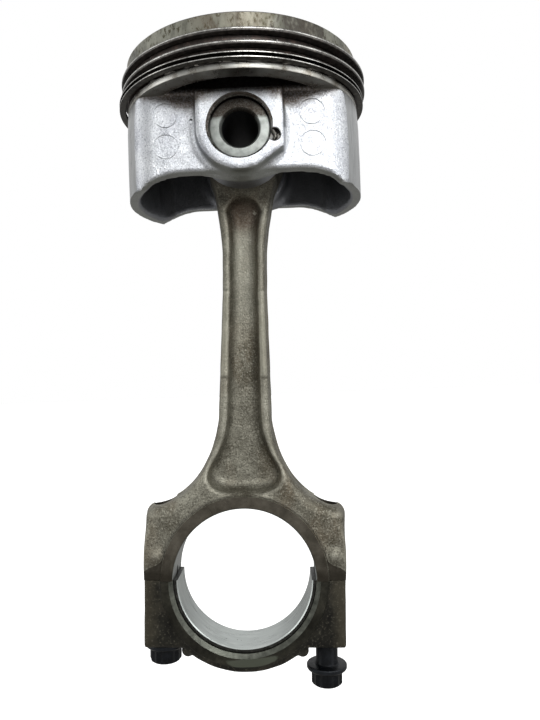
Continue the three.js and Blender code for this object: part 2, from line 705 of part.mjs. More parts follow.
function rodGroup() {
  const group = new THREE.Group();
  group.rotation.y = degrees(ROD_SWING_DEG);
  group.add(part("small_end_bush", smallEndBush(), "bronze"), crankEnd());
  return group;
}

// A compression ring resting in the groove whose floor is given.
function compressionRing(depth, grooveFloor, gapAngle) {
  const floor = grooveFloor + SIDE_CLEARANCE;
  return splitRing(RING_FREE_RADIUS, depth, floor, RING_HEIGHT, gapAngle);
}

function oilRail(floor, gapAngle) {
  return splitRing(RAIL_FREE_RADIUS, RAIL_DEPTH, floor, RAIL_HEIGHT, gapAngle);
}

const assembly = new THREE.Group();
const lowerRailFloor = OIL_GROOVE_FLOOR + SIDE_CLEARANCE;
const upperRailFloor = OIL_GROOVE_FLOOR + OIL_GROOVE_WIDTH - SIDE_CLEARANCE - RAIL_HEIGHT;
const topRing = compressionRing(TOP_RING_DEPTH, TOP_GROOVE_FLOOR, TOP_RING_GAP_DEG);
const secondRing = compressionRing(SECOND_RING_DEPTH, SECOND_GROOVE_FLOOR, SECOND_RING_GAP_DEG);
const upperRail = oilRail(upperRailFloor, UPPER_RAIL_GAP_DEG);
const lowerRail = oilRail(lowerRailFloor, LOWER_RAIL_GAP_DEG);
assembly.add(
  part("piston_body", pistonBody(), "castAluminium"),
  laidRing("top_compression_ring", topRing, "ringIron", RING_OFFSET_X),
  laidRing("second_compression_ring", secondRing, "ringIron", RING_OFFSET_X),
  laidRing("oil_ring_upper_rail", upperRail, "railSteel", RAIL_OFFSET_X),
  laidRing("oil_ring_expander", oilExpander(), "railSteel", 0),
  laidRing("oil_ring_lower_rail", lowerRail, "railSteel", RAIL_OFFSET_X),
  part("wrist_pin", wristPin(), "pinSteel"),
  part("pin_clip_front", pinCircleClip(-1), "springSteel"),
  part("pin_clip_rear", pinCircleClip(1), "springSteel"),
  rodGroup(),
);

export default assembly;
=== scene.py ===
from math import atan2, cos, pi, radians, sin

import bmesh
import bpy
import numpy as np
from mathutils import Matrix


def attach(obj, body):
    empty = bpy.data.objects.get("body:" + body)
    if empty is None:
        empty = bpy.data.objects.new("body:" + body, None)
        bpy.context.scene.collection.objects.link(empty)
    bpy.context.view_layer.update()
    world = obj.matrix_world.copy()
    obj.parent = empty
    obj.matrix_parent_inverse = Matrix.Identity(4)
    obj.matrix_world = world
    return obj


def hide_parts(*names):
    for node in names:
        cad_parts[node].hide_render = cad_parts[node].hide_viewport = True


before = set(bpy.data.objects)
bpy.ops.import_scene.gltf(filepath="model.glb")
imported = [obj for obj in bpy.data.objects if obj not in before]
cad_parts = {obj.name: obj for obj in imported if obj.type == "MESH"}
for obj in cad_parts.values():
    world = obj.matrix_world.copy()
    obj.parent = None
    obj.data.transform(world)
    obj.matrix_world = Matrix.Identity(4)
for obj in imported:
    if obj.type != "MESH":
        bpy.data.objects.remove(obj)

import openvdb as vdb
from bpy.props import FloatProperty, FloatVectorProperty, PointerProperty
from mathutils import Matrix, Vector

bl_info = {
    "name": "Engine piston and rod",
    "version": (1, 0, 0),
    "blender": (4, 5, 0),
    "location": "3D View > Sidebar > Piston",
    "description": "Builds a used piston, its rings, pin, rod, cap and bolts",
    "category": "Add Mesh",
}

MM = 0.001

# Piston, in its own frame: wrist pin's middle at the origin, crown up, pin along Y
SKIRT_RADIUS = 42.97
LAND_RADIUS = 42.57
CROWN_TOP = 31.5
CROWN_UNDERSIDE = 24
DISH_RADIUS = 27
GROOVE_ROOT = 38.5
BELT_BOTTOM = 13.2
BELT_INNER = 36.07
POCKET_ROOF = 20.5
TOP_GROOVE = (23.75, 25.05)
SECOND_GROOVE = (19.65, 20.95)
OIL_GROOVE = (15.25, 17.35)
SIDE_CLEARANCE = 0.05
RING_HEIGHT = 1.2
RING_RADIUS = 45.2
RING_OFFSET = 0.6
RAIL_HEIGHT = 0.45
RAIL_RADIUS = 45.3
RAIL_INNER = 43.2
RAIL_OFFSET = -0.3
SKIRT_BOTTOM = -18.3
SKIRT_EDGE_Y = 19.6
SKIRT_WALL = 3.4
TURNING_ALLOWANCE = 0.3
PANEL_Y = 25.7
PANEL_X = 38.86
PANEL_WALL = 3
PANEL_CORNER = 9.36
ARCH_TOP = -13.1
ARCH_FLAT_X = 20
ARCH_RADIUS = 25
BOSS_RADIUS = 16.2
PILLAR_HALF_WIDTH = 11
BOSS_Y = (12.5, 31)
PAD_RADIUS = 14.7
PIN_BORE = 10.56
PIN_RADIUS = 10.5
PIN_HOLE = 6.1
PIN_END = 28.5
CLIP_Y = 29.3
CLIP_RADIUS = 10.95
CLIP_GROOVE_RADIUS = 11.8
NOTCH = (11.5, -3.6, 2.1)

# Rod, cap and bolts, in the rod's frame: crank centre at the origin, pin straight above
ROD_LENGTH = 155.5
ROD_SWING = radians(1.85)
EYE_RADIUS = 15.1
EYE_HALF_WIDTH = 10.6
BUSH_OUTER = 12.06
HOUSING_RADIUS = 25.5
THRUST_RADIUS = 29.8
THRUST_HALF_WIDTH = 10.3
SHOULDER_X = 36.4
SHOULDER_HALF = 8.9
BEAM_HALF = 7.6
WEB_HALF = 2
PARTING = 0.03
CAP_SEAT = -24
CAP_BACK_RADIUS = 33
SHELL_WALL = 1.45
SHELL_HALF_WIDTH = 8.6
BOLT_X = 29.6
BOLT_HOLE = 4.3
BOLT_SEAT_RADIUS = 9.2
BOLT_RADIUS = 4
BOLT_HEAD = 5.85
BOLT_FLANGE = 7.35
LOOSE_BOLT_OUT = 8.4

MATERIALS = {}


# ---------------------------------------------------------------- fields and outlines


def soft_min(a, b, k):
    """Joins two fields with a fillet of about k millimetres."""
    h = np.maximum(k - np.abs(a - b), 0) / k
    return np.minimum(a, b) - h * h * k / 4


def soft_max(a, b, k):
    """Common part of two fields with its edge rounded by about k millimetres."""
    return -soft_min(-a, -b, k)


def ease(value, low, high):
    """0 below low, 1 above high, and a smooth step between them."""
    t = np.clip((value - low) / (high - low), 0, 1)
    return t * t * (3 - 2 * t)


def outline_distance(points, u, v):
    """Signed distance from a closed outline, negative inside."""
    nearest = np.full(np.broadcast(u, v).shape, 1e9)
    inside = np.zeros(nearest.shape, bool)
    for (au, av), (bu, bv) in zip(points, points[1:] + points[:1]):
        du, dv = bu - au, bv - av
        length = du * du + dv * dv
        if length < 1e-12:
            continue
        t = np.clip(((u - au) * du + (v - av) * dv) / length, 0, 1)
        nearest = np.minimum(nearest, (u - au - t * du) ** 2 + (v - av - t * dv) ** 2)
        if abs(dv) > 1e-9:
            crosses = (av <= v) != (bv <= v)
            inside ^= crosses & (u < au + (v - av) * du / dv)
    return np.where(inside, -1, 1) * np.sqrt(nearest)


def bezier(start, first, second, end, steps=14):
    """Points along a cubic curve, without its start."""
    points = []
    for i in range(1, steps + 1):
        t = i / steps
        s = 1 - t
        weights = (s**3, 3 * s * s * t, 3 * s * t * t, t**3)
        corners = (start, first, second, end)
        points.append(tuple(sum(w * c[j] for w, c in zip(weights, corners)) for j in (0, 1)))
    return points


def bow(start, handle, end, steps=10):
    """Points along a curve with one handle, without its start."""
    first = tuple(start[j] + 2 / 3 * (handle[j] - start[j]) for j in (0, 1))
    second = tuple(end[j] + 2 / 3 * (handle[j] - end[j]) for j in (0, 1))
    return bezier(start, first, second, end, steps)


def arc(centre, radius, start, end, steps=16):
    """Points along a circular arc; angles in degrees."""
    angles = [radians(start + (end - start) * i / steps) for i in range(steps + 1)]
    return [(centre[0] + radius * cos(a), centre[1] + radius * sin(a)) for a in angles]


def mirrored(right):
    """Closes a right-hand outline, given from bottom to top, with its mirror image."""
    return right + [(-x, z) for x, z in reversed(right) if abs(x) > 1e-6]


def ripple(x, y, z, size):
    """Gentle unevenness between -1 and 1 with waves of about the given size."""
    w = 2 * pi / size
    first = np.sin(w * (x + 0.31 * z) + 1.3) * np.sin(w * (0.83 * z - 0.27 * y) + 0.4)
    second = np.sin(w * (0.71 * y + 0.36 * x) + 2.1) * np.cos(w * 0.63 * (z + 0.8 * x))
    return 0.5 * (first + second)


def grid_step(spacing):
    return spacing / MM * 1


def grown(field, low, high, voxel):
    """Vertices and faces of a field's zero surface, in millimetres."""
    counts = [int(np.ceil((high[i] - low[i]) / voxel)) + 1 for i in range(3)]
    x, y, z = (low[i] + voxel * np.arange(counts[i]) for i in range(3))
    values = field(x[:, None, None], y[None, :, None], z[None, None, :])
    values = np.ascontiguousarray(np.broadcast_to(values, counts), np.float32)
    grid = vdb.FloatGrid()
    grid.copyFromArray(values)
    points, quads = grid.convertToQuads(isovalue=0.0)
    return points * voxel + np.array(low), quads


# ---------------------------------------------------------------- solids in millimetres


def lathe(profile, steps, along="Z"):
    """Turns a closed profile of (radius, height) once round an axis."""
    verts, rows = [], []
    for radius, height in profile:
        if radius < 1e-6:
            rows.append([len(verts)] * steps)
            verts.append((0, 0, height))
            continue
        rows.append(list(range(len(verts), len(verts) + steps)))
        for i in range(steps):
            angle = 2 * pi * i / steps
            verts.append((radius * cos(angle), radius * sin(angle), height))
    faces = []
    for low, high in zip(rows, rows[1:] + rows[:1]):
        for i in range(steps):
            j = (i + 1) % steps
            corners = [low[i], low[j], high[j], high[i]]
            face = [c for k, c in enumerate(corners) if c != corners[k - 1]]
            if len(face) > 2:
                faces.append(face)
    if along == "Y":
        verts = [(x, z, -y) for x, y, z in verts]
    return verts, faces


def skin(rings):
    """Joins equal closed rings of points into a tube with flat ends."""
    count = len(rings[0])
    verts = [point for ring in rings for point in ring]
    faces = []
    for base in range(0, len(verts) - count, count):
        for k in range(count):
            a, b = base + k, base + (k + 1) % count
            faces.append([a, b, b + count, a + count])
    faces.append(list(reversed(range(count))))
    faces.append([len(verts) - count + k for k in range(count)])
    return verts, faces


def swept_ring(section, start, end, steps):
    """Sweeps a closed section of (radius, height) from one angle to another, with flat ends."""
    rings = []
    for i in range(steps + 1):
        angle = radians(start + (end - start) * i / steps)
        rings.append([(r * cos(angle), r * sin(angle), h) for r, h in section])
    return skin(rings)


def raised(outline, low, high, along="Z"):
    """Raises a closed outline into a solid. Along Y, the outline is (x, z)."""
    count = len(outline)
    verts = [(u, v, low) for u, v in outline] + [(u, v, high) for u, v in outline]
    faces = [list(reversed(range(count))), list(range(count, 2 * count))]
    faces += [[i, (i + 1) % count, count + (i + 1) % count, count + i] for i in range(count)]
    if along == "Y":
        verts = [(u, h, v) for u, v, h in verts]
        faces = [list(reversed(f)) for f in faces]
    return verts, faces


def box(low, high):
    """Block between two corners."""
    plan = [(low[0], low[1]), (high[0], low[1]), (high[0], high[1]), (low[0], high[1])]
    return raised(plan, low[2], high[2])


def bore_cut(radius, half, chamfer, flare, reach, steps):
    """Cutter for a bore along Y, with a chamfer (across, along) at both faces."""
    wide, deep = chamfer
    low = [(0, -reach), (radius + flare, -reach), (radius + wide, -half), (radius, deep - half)]
    return lathe(low + [(r, -h) for r, h in reversed(low)], steps, "Y")


def moved(shape, x=0.0, y=0.0, z=0.0, turn=None):
    """Moves a solid; turn is a matrix that is applied first."""
    verts, faces = shape
    turned = [turn @ Vector(v) for v in verts] if turn else [Vector(v) for v in verts]
    return [tuple(v + Vector((x, y, z))) for v in turned], faces


def together(*shapes):
    """Lists several separate solids as one mesh."""
    verts, faces = [], []
    for more, rings in shapes:
        base = len(verts)
        verts += [tuple(v) for v in more]
        faces += [[base + i for i in ring] for ring in rings]
    return verts, faces


def as_object(name, shape, *finishes):
    """Makes a Blender object from a solid, with its finishes in slot order."""
    verts, faces = shape
    mesh = bpy.data.meshes.new(name)
    mesh.from_pydata(np.asarray(verts, float) * MM, [], [list(map(int, f)) for f in faces])
    mesh.validate()
    for finish in finishes:
        mesh.materials.append(finish)
    piece = bpy.data.objects.new(name, mesh)
    bpy.context.scene.collection.objects.link(piece)
    outward(piece)
    return piece


def outward(piece):
    """Turns all faces to look outward."""
    bm = bmesh.new()
    bm.from_mesh(piece.data)
    bmesh.ops.recalc_face_normals(bm, faces=bm.faces)
    bm.to_mesh(piece.data)
    bm.free()


def machine(piece, shape, finish):
    """Cuts a solid from a piece; the new faces get the given finish."""
    tool = as_object("tool", shape)
    slots = list(piece.data.materials)
    if finish not in slots:
        piece.data.materials.append(finish)
        slots.append(finish)
    for material in piece.data.materials:
        tool.data.materials.append(material)
    index = slots.index(finish)
    tool.data.polygons.foreach_set("material_index", [index] * len(tool.data.polygons))
    before = len(piece.data.polygons)
    for solver in ("MANIFOLD", "EXACT"):
        step = piece.modifiers.new("machining", "BOOLEAN")
        step.operation = "DIFFERENCE"
        step.solver = solver
        step.object = tool
        bpy.context.view_layer.update()
        graph = bpy.context.evaluated_depsgraph_get()
        result = bpy.data.meshes.new_from_object(piece.evaluated_get(graph))
        piece.modifiers.remove(step)
        if len(result.polygons) > 4 and len(result.polygons) != before:
            break
        print("machining again with another solver", piece.name, solver, len(result.polygons))
    else:
        raise RuntimeError(f"{piece.name} could not be machined")
    old = piece.data
    name = old.name
    piece.data = result
    bpy.data.meshes.remove(old)
    result.name = name
    bpy.data.objects.remove(tool)


def slot_numbers(piece):
    """Slot number of each finish on a piece, by the finish's name in this file."""
    fitted = list(piece.data.materials)
    return {name: fitted.index(m) for name, m in MATERIALS.items() if m in fitted}


def finish_faces(piece, rule):
    """Sets each face's finish by a rule on its middle and normal, in millimetres."""
    mesh = piece.data
    count = len(mesh.polygons)
    middles = np.empty(count * 3)
    normals = np.empty(count * 3)
    index = np.empty(count, int)
    mesh.polygons.foreach_get("center", middles)
    mesh.polygons.foreach_get("normal", normals)
    mesh.polygons.foreach_get("material_index", index)
    chosen = rule(middles.reshape(-1, 3).T / MM, normals.reshape(-1, 3).T, index)
    mesh.polygons.foreach_set("material_index", np.asarray(chosen, int))


def smooth(piece, angle=32):
    """Smooth shading that keeps the machined edges crisp."""
    mesh = piece.data
    mesh.shade_smooth()
    mesh.set_sharp_from_angle(angle=radians(angle))
    mesh.update()


def rod_place():
    """Place of the rod's own frame: swung about the wrist pin."""
    return Matrix.Rotation(ROD_SWING, 4, "Y") @ Matrix.Translation((0, 0, -ROD_LENGTH * MM))


def mount(piece, body, slot, *nodes):
    """Hands a finished piece to the frame."""
    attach(piece, body)
    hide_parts(*nodes)


# ---------------------------------------------------------------- finishes


class Finish:
    """A metal finish as a node material, with lengths in millimetres."""

    def __init__(self, name, metallic, roughness):
        self.material = bpy.data.materials.new(name)
        self.material.use_nodes = True
        self.tree = self.material.node_tree
        self.shader = self.tree.nodes["Principled BSDF"]
        self.shader.inputs["Metallic"].default_value = metallic
        self.shader.inputs["Roughness"].default_value = roughness
        place = self.node("ShaderNodeTexCoord").outputs["Object"]
        scaled = self.node("ShaderNodeVectorMath", operation="SCALE")
        scaled.inputs["Scale"].default_value = 1 / MM
        self.join(place, scaled.inputs[0])
        self.place = scaled.outputs[0]
        split = self.node("ShaderNodeSeparateXYZ")
        self.join(self.place, split.inputs[0])
        self.x, self.y, self.z = split.outputs
        self.height = None
        MATERIALS[name] = self.material

    def node(self, kind, **settings):
        made = self.tree.nodes.new(kind)
        for key, value in settings.items():
            setattr(made, key, value)
        return made

    def join(self, source, target):
        self.tree.links.new(source, target)

    def feed(self, target, value):
        if isinstance(value, (int, float)):
            target.default_value = value
        elif isinstance(value, tuple):
            target.default_value = (*value, 1) if len(value) == 3 else value
        else:
            self.join(value, target)

    def maths(self, operation, a, b=0.0, clamp=False):
        made = self.node("ShaderNodeMath", operation=operation, use_clamp=clamp)
        self.feed(made.inputs[0], a)
        self.feed(made.inputs[1], b)
        return made.outputs[0]

    def times(self, a, b):
        return self.maths("MULTIPLY", a, b)

    def plus(self, a, b):
        return self.maths("ADD", a, b)

    def minus(self, a, b):
        return self.maths("SUBTRACT", a, b)

    def size(self, a):
        """Size of a value, without its sign."""
        return self.maths("ABSOLUTE", a)

    def tool_marks(self, place, pitch):
        """Even tool marks, from 0 to 1, that repeat at the given pitch."""
        return self.span(self.maths("SINE", self.times(place, 2 * pi / pitch)), -1, 1)

    def span(self, value, low, high, to_low=0.0, to_high=1.0):
        """Carries a value from one range to another and holds it there."""
        made = self.node("ShaderNodeMapRange", clamp=True)
        for socket, entry in zip(made.inputs, (value, low, high, to_low, to_high)):
            self.feed(socket, entry)
        return made.outputs[0]

    def stretched(self, x=1.0, y=1.0, z=1.0):
        """Place with each axis scaled, for grain that runs one way."""
        made = self.node("ShaderNodeVectorMath", operation="MULTIPLY")
        self.join(self.place, made.inputs[0])
        made.inputs[1].default_value = (x, y, z)
        return made.outputs[0]

    def polar(self, along):
        """Place as (arc length, distance from the Z axis, scaled height)."""
        made = self.node("ShaderNodeCombineXYZ")
        self.feed(made.inputs[0], self.times(self.maths("ARCTAN2", self.y, self.x), LAND_RADIUS))
        self.feed(made.inputs[1], self.reach(self.x, self.y))
        self.feed(made.inputs[2], self.times(self.z, along))
        return made.outputs[0]

    def reach(self, a, b):
        """Distance from an axis, given the two lengths across it."""
        squares = [self.maths("MULTIPLY", v, v) for v in (a, b)]
        return self.maths("SQRT", self.maths("ADD", *squares))

    def noise(self, size, detail=3.0, rough=0.55, place=None):
        """Cloudy noise from 0 to 1 with spots of about the given size."""
        made = self.node("ShaderNodeTexNoise")
        self.join(place or self.place, made.inputs["Vector"])
        made.inputs["Scale"].default_value = 1 / size
        made.inputs["Detail"].default_value = detail
        made.inputs["Roughness"].default_value = rough
        return made.outputs["Fac"]

    def cells(self, size):
        """Distance inside small cells, for a shot-blasted skin."""
        made = self.node("ShaderNodeTexVoronoi")
        self.join(self.place, made.inputs["Vector"])
        made.inputs["Scale"].default_value = 1 / size
        return made.outputs["Distance"]

    def ramp(self, value, *stops):
        made = self.node("ShaderNodeValToRGB")
        self.join(value, made.inputs[0])
        stops_of = made.color_ramp.elements
        while len(stops_of) < len(stops):
            stops_of.new(0.5)
        for stop, (position, colour) in zip(stops_of, stops):
            stop.position = position
            stop.color = (*colour, 1)
        return made.outputs[0]

    def mix(self, amount, a, b):
        made = self.node("ShaderNodeMix", data_type="RGBA")
        self.feed(made.inputs["Factor"], amount)
        self.feed(made.inputs[6], a)
        self.feed(made.inputs[7], b)
        return made.outputs[2]

    def colour(self, value):
        self.feed(self.shader.inputs["Base Color"], value)

    def rough(self, value):
        self.feed(self.shader.inputs["Roughness"], value)

    def relief(self, height, depth, strength=1.0):
        """Adds fine relief; height runs 0 to 1 over the given depth in millimetres."""
        made = self.node("ShaderNodeBump")
        made.inputs["Strength"].default_value = strength
        made.inputs["Distance"].default_value = depth * MM
        self.join(height, made.inputs["Height"])
        if self.height is not None:
            self.join(self.height, made.inputs["Normal"])
        self.height = made.outputs[0]
        self.join(self.height, self.shader.inputs["Normal"])


def shade(display_colour):
    """Linear colour from a display colour such as 0x7D7A6C."""
    channels = [(display_colour >> shift & 255) / 255 for shift in (16, 8, 0)]
    return tuple(c / 12.92 if c <= 0.04045 else ((c + 0.055) / 1.055) ** 2.4 for c in channels)


def clouded(name, metallic, roughness, size, along, tones, rough, depth):
    """Metal with one cloudy pattern in its colour, roughness and relief."""
    f = Finish(name, metallic, roughness)
    cloud = f.noise(size, 4, 0.6, f.polar(along) if along else None)
    f.colour(f.ramp(cloud, *((place, shade(tone)) for place, tone in tones)))
    f.rough(f.span(cloud, *rough))
    f.relief(cloud, depth, 0.5)


def cast_aluminium(tone):
    """Bright cast surface: grain with painted glints, faint clouds, and painted shade on faces turned
    down, round the pad's foot, in the hollow and in the pocket, with a painted brown shade and
    reflection on the panels under the belt.
    """
    f = Finish("cast_aluminium", 0.88, 0.4)
    cloud = f.noise(9, 4, 0.6)
    grain = f.noise(0.62, 3, 0.7)
    speck = f.span(f.noise(0.5, 2, 0.5), 0.52, 0.66)
    glint = f.span(f.noise(0.45, 2, 0.5, f.stretched(1.3, 1.1, 0.9)), 0.58, 0.66)
    bright = f.mix(f.span(cloud, 0.35, 0.68), tone, shade(0xB2B5BB))
    dulled = f.mix(f.times(speck, 0.62), bright, shade(0x7D8087))
    glinting = f.mix(f.times(glint, 0.6), dulled, shade(0xF4F5F6))
    # Painted shade: faces turned down are painted a darker grey.
    down = f.node("ShaderNodeSeparateXYZ")
    f.join(f.node("ShaderNodeNewGeometry").outputs["Normal"], down.inputs[0])
    below = f.span(down.outputs[2], -0.45, -0.8, 0, 0.75)
    # Painted shade: a dark line runs round the pad's foot, in the corner where the pad meets the
    # panel.
    across = f.reach(f.x, f.z)
    straight = f.size(f.minus(f.size(f.x), PAD_RADIUS + 0.35))
    curved = f.size(f.minus(across, PAD_RADIUS + 0.35))
    upper = f.span(f.z, -0.3, 0.3)
    left = f.span(f.x, 6, 4)
    foot = f.times(f.maths("MAXIMUM", upper, left), f.span(f.size(f.y), 30.4, 29.6))
    straight_line = f.times(f.span(straight, 0.75, 0.2), upper)
    curved_line = f.times(f.span(curved, 0.75, 0.2), f.minus(1.0, upper))
    line = f.times(f.maths("ADD", straight_line, curved_line, clamp=True), foot)
    pad_foot_shaded = f.mix(f.times(line, 0.6), glinting, shade(0x4B4C4C))
    underside_shaded = f.mix(below, pad_foot_shaded, shade(0x84867F))
    # Painted shade and brown reflection: the tops of the panels, under the belt's overhang, are
    # painted brown.
    ax = f.size(f.x)
    sag = f.span(f.size(f.minus(ax, 17)), 2, 12, 0, 4.2)
    edge = f.minus(f.plus(f.z, f.times(f.noise(3.2, 3, 0.6), 4)), sag)
    front = f.span(f.size(f.y), 24.5, 25.4)
    tint_mask = f.times(f.span(edge, 8.2, 11.4), front)
    mottled = f.times(tint_mask, f.span(f.noise(0.6, 2, 0.5), 0.3, 0.6, 0.6, 0.95))
    belt_shaded = f.mix(mottled, underside_shaded, shade(0x5F544B))
    # Painted shade: the inside of the hollow is painted a darker grey.
    radius = f.reach(f.x, f.y)
    within = f.times(f.span(f.size(f.y), 22.95, 22.8), f.span(radius, 40.1, 39.8))
    hollow_shaded = f.mix(f.times(within, 0.93), belt_shaded, shade(0x85878C))
    # Painted shade: the pocket and the crown's underside, above the belt's bottom, are painted dark
    # brown.
    pocket = f.span(f.z, BELT_BOTTOM + 0.2, BELT_BOTTOM + 2)
    f.colour(f.mix(f.times(pocket, 0.85), hollow_shaded, shade(0x26211D)))
    f.rough(f.span(grain, 0.3, 0.7, 0.3, 0.5))
    f.relief(grain, 0.15, 0.85)
    f.relief(cloud, 0.5, 0.25)


def turned_skirt():
    """Outer skirt: fine turned lines with vertical wear streaks."""
    f = Finish("turned_skirt", 0.9, 0.34)
    lines = f.tool_marks(f.z, 0.32)
    wear = f.noise(2.2, 4, 0.6, f.polar(along=0.12))
    f.colour(f.ramp(wear, (0.3, shade(0x868889)), (0.52, shade(0xB6B8B8)), (0.75, shade(0x9EA09F))))
    f.rough(f.span(wear, 0.3, 0.7, 0.26, 0.42))
    f.relief(lines, 0.05, 0.6)


def crown_land():
    """Topmost land: tan-grey carbon glaze with olive and black vertical stains."""
    f = Finish("crown_land", 0.62, 0.42)
    streak = f.noise(2.6, 5, 0.65, f.polar(along=0.42))
    spots = f.noise(1.1, 4, 0.7, f.polar(along=0.55))
    wide = f.noise(15, 2, 0.5, f.polar(along=0.15))
    base = f.ramp(streak, (0.30, shade(0x4F4F45)), (0.48, shade(0x7B7B70)), (0.70, shade(0x909084)))
    olive = f.mix(f.span(spots, 0.55, 0.62, 0, 0.85), base, shade(0x3E3924))
    tan = f.mix(f.span(wide, 0.5, 0.62, 0, 0.35), olive, shade(0x807460))
    near = f.span(f.y, -20, -24)
    wander = f.times(f.minus(streak, 0.5), 16)
    place = f.plus(f.x, wander)
    crust = tan
    for low, high, depth, tint in (
        (13, 30, 0.85, 0x3F3A34),
        (8, 13, 0.5, 0x4C4733),
        (-1, 4, 0.55, 0x40372C),
        (-10, -6, 0.4, 0x5A4A3A),
        (-45, -35, 0.7, 0x35332F),
        (33, 45, 0.5, 0x4A4842),
    ):
        rise = f.span(place, low, low + 2)
        fall = f.span(place, high, high - 2)
        band = f.times(f.times(rise, fall), near)
        mottled = f.times(band, f.span(spots, 0.35, 0.5, 0.55, 1))
        crust = f.mix(f.times(mottled, depth), crust, shade(tint))
    f.colour(crust)
    f.rough(f.span(spots, 0.35, 0.65, 0.34, 0.55))
    f.relief(streak, 0.08, 0.5)


def dark_land():
    """Lands and grooves between the rings: lacquer and soot over turned metal."""
    f = Finish("dark_land", 0.55, 0.4)
    streak = f.noise(2.0, 5, 0.65, f.polar(along=0.5))
    glint_specks = f.noise(0.8, 3, 0.6, f.polar(along=0.8))
    base = f.ramp(streak, (0.32, shade(0x35322F)), (0.52, shade(0x504844)), (0.7, shade(0x6C5A52)))
    # Painted reflections: small near-white specks on the dark lands.
    f.colour(f.mix(f.span(glint_specks, 0.68, 0.72), base, shade(0xD8D6CE)))
    f.rough(f.span(streak, 0.35, 0.65, 0.3, 0.5))
    f.relief(glint_specks, 0.05, 0.4)


def bright_turned():
    """Lowest land and its underside: bright turned metal with fine lines."""
    f = Finish("bright_turned", 0.95, 0.27)
    radius = f.reach(f.x, f.y)
    lines = f.tool_marks(f.plus(f.z, radius), 0.28)
    tint_mask = f.noise(4, 4, 0.6, f.polar(along=0.6))
    under = f.span(f.z, BELT_BOTTOM + 0.1, BELT_BOTTOM + 0.02)
    base = f.ramp(tint_mask, (0.3, shade(0x8A857B)), (0.5, shade(0xB9B8B1)), (0.7, shade(0xC9C9C4)))
    f.colour(f.mix(f.times(under, 0.62), base, shade(0x5F5A50)))
    f.rough(f.span(tint_mask, 0.3, 0.7, 0.24, 0.36))
    f.relief(lines, 0.03, 0.5)


def crown_carbon():
    """Crown: baked black and brown carbon, dry and lumpy."""
    f = Finish("crown_carbon", 0.15, 0.8)
    coarse = f.noise(6, 6, 0.65)
    fine = f.noise(0.7, 4, 0.7)
    base = f.ramp(coarse, (0.32, shade(0x15130F)), (0.5, shade(0x2B2722)), (0.68, shade(0x5B5145)))
    f.colour(f.mix(f.span(fine, 0.62, 0.75, 0, 0.6), base, shade(0x7A7266)))
    f.rough(f.span(fine, 0.3, 0.7, 0.6, 0.92))
    f.relief(fine, 0.2, 0.9)
    f.relief(coarse, 0.4, 0.5)


def bored_aluminium():
    """Pin bore, chamfers and clip groove: smooth with rings from the boring tool."""
    f = Finish("bored_aluminium", 0.93, 0.26)
    lines = f.tool_marks(f.y, 0.35)
    oil = f.noise(3.5, 4, 0.6)
    base = f.ramp(oil, (0.3, shade(0x6E6152)), (0.46, shade(0x8F8B84)), (0.66, shade(0xB8BABA)))
    # Painted shade: the upper part of the bore and its chamfer is painted dark brown.
    upper = f.span(f.plus(f.z, f.times(oil, 4)), 1, 4, 0, 0.85)
    brown = f.mix(upper, base, shade(0x2F261E))
    # Painted shade: the clip notch is painted dark.
    notch = f.reach(f.minus(f.x, NOTCH[0]), f.minus(f.z, NOTCH[1]))
    f.colour(f.mix(f.span(notch, 2.3, 2.0, 0, 0.85), brown, shade(0x33322F)))
    f.rough(f.span(oil, 0.3, 0.7, 0.2, 0.36))
    f.relief(lines, 0.03, 0.5)


def ring_iron():
    """Sides of the compression rings: black phosphate with soot and scuffs."""
    tones = ((0.35, 0x383634), (0.55, 0x504D4A), (0.75, 0x76706A))
    clouded("ring_iron", 0.6, 0.36, 1.6, 2, tones, (0.35, 0.65, 0.28, 0.46), 0.03)


def ring_face():
    """Running faces of the rings: rubbed bright by the cylinder."""
    tones = ((0.3, 0x7B7A76), (0.5, 0xB1B0AB), (0.7, 0xD2D2CE))
    clouded("ring_face", 0.96, 0.24, 1.2, 0.15, tones, (0.3, 0.7, 0.2, 0.34), 0.02)


def rail_steel():
    """Oil rails and their expander: grey spring steel with lacquer."""
    tones = ((0.32, 0x24221F), (0.52, 0x3D3A36), (0.72, 0x6B6862))
    clouded("rail_steel", 0.85, 0.33, 2.0, 2, tones, (0.35, 0.65, 0.26, 0.42), 0.02)


def ground_steel():
    """Wrist pin: matt ground ends and a polished outside, with a painted brown reflection on its upper
    part.
    """
    f = Finish("ground_steel", 0.92, 0.33)
    haze = f.noise(2.4, 4, 0.6)
    fine = f.noise(0.35, 3, 0.6)
    base = f.ramp(haze, (0.3, shade(0x838783)), (0.5, shade(0x989C98)), (0.7, shade(0xA9ADA9)))
    # Painted reflection: the pin's upper part is painted dark brown.
    lift = f.plus(f.z, f.times(haze, 2))
    tint_mask = f.times(f.span(lift, 4.0, 5.2), f.span(fine, 0.35, 0.6, 0.75, 0.96))
    f.colour(f.mix(tint_mask, base, shade(0x30251C)))
    f.rough(f.span(fine, 0.3, 0.7, 0.44, 0.56))
    f.relief(fine, 0.02, 0.6)


def pin_hole_black():
    """Inside of the wrist pin: black scale and old oil."""
    f = Finish("pin_hole_black", 0.3, 0.55)
    haze = f.noise(2.0, 4, 0.6, f.stretched(y=0.3))
    f.colour(f.ramp(haze, (0.35, shade(0x0B0B0C)), (0.6, shade(0x17171A)), (0.8, shade(0x2A2826))))
    f.relief(haze, 0.1, 0.6)


def spring_steel():
    """Wire clips: drawn spring wire."""
    tones = ((0.35, 0x34332F), (0.55, 0x5A5853), (0.75, 0x8A8882))
    clouded("spring_steel", 0.9, 0.3, 0.7, None, tones, (0.35, 0.65, 0.24, 0.42), 0.02)


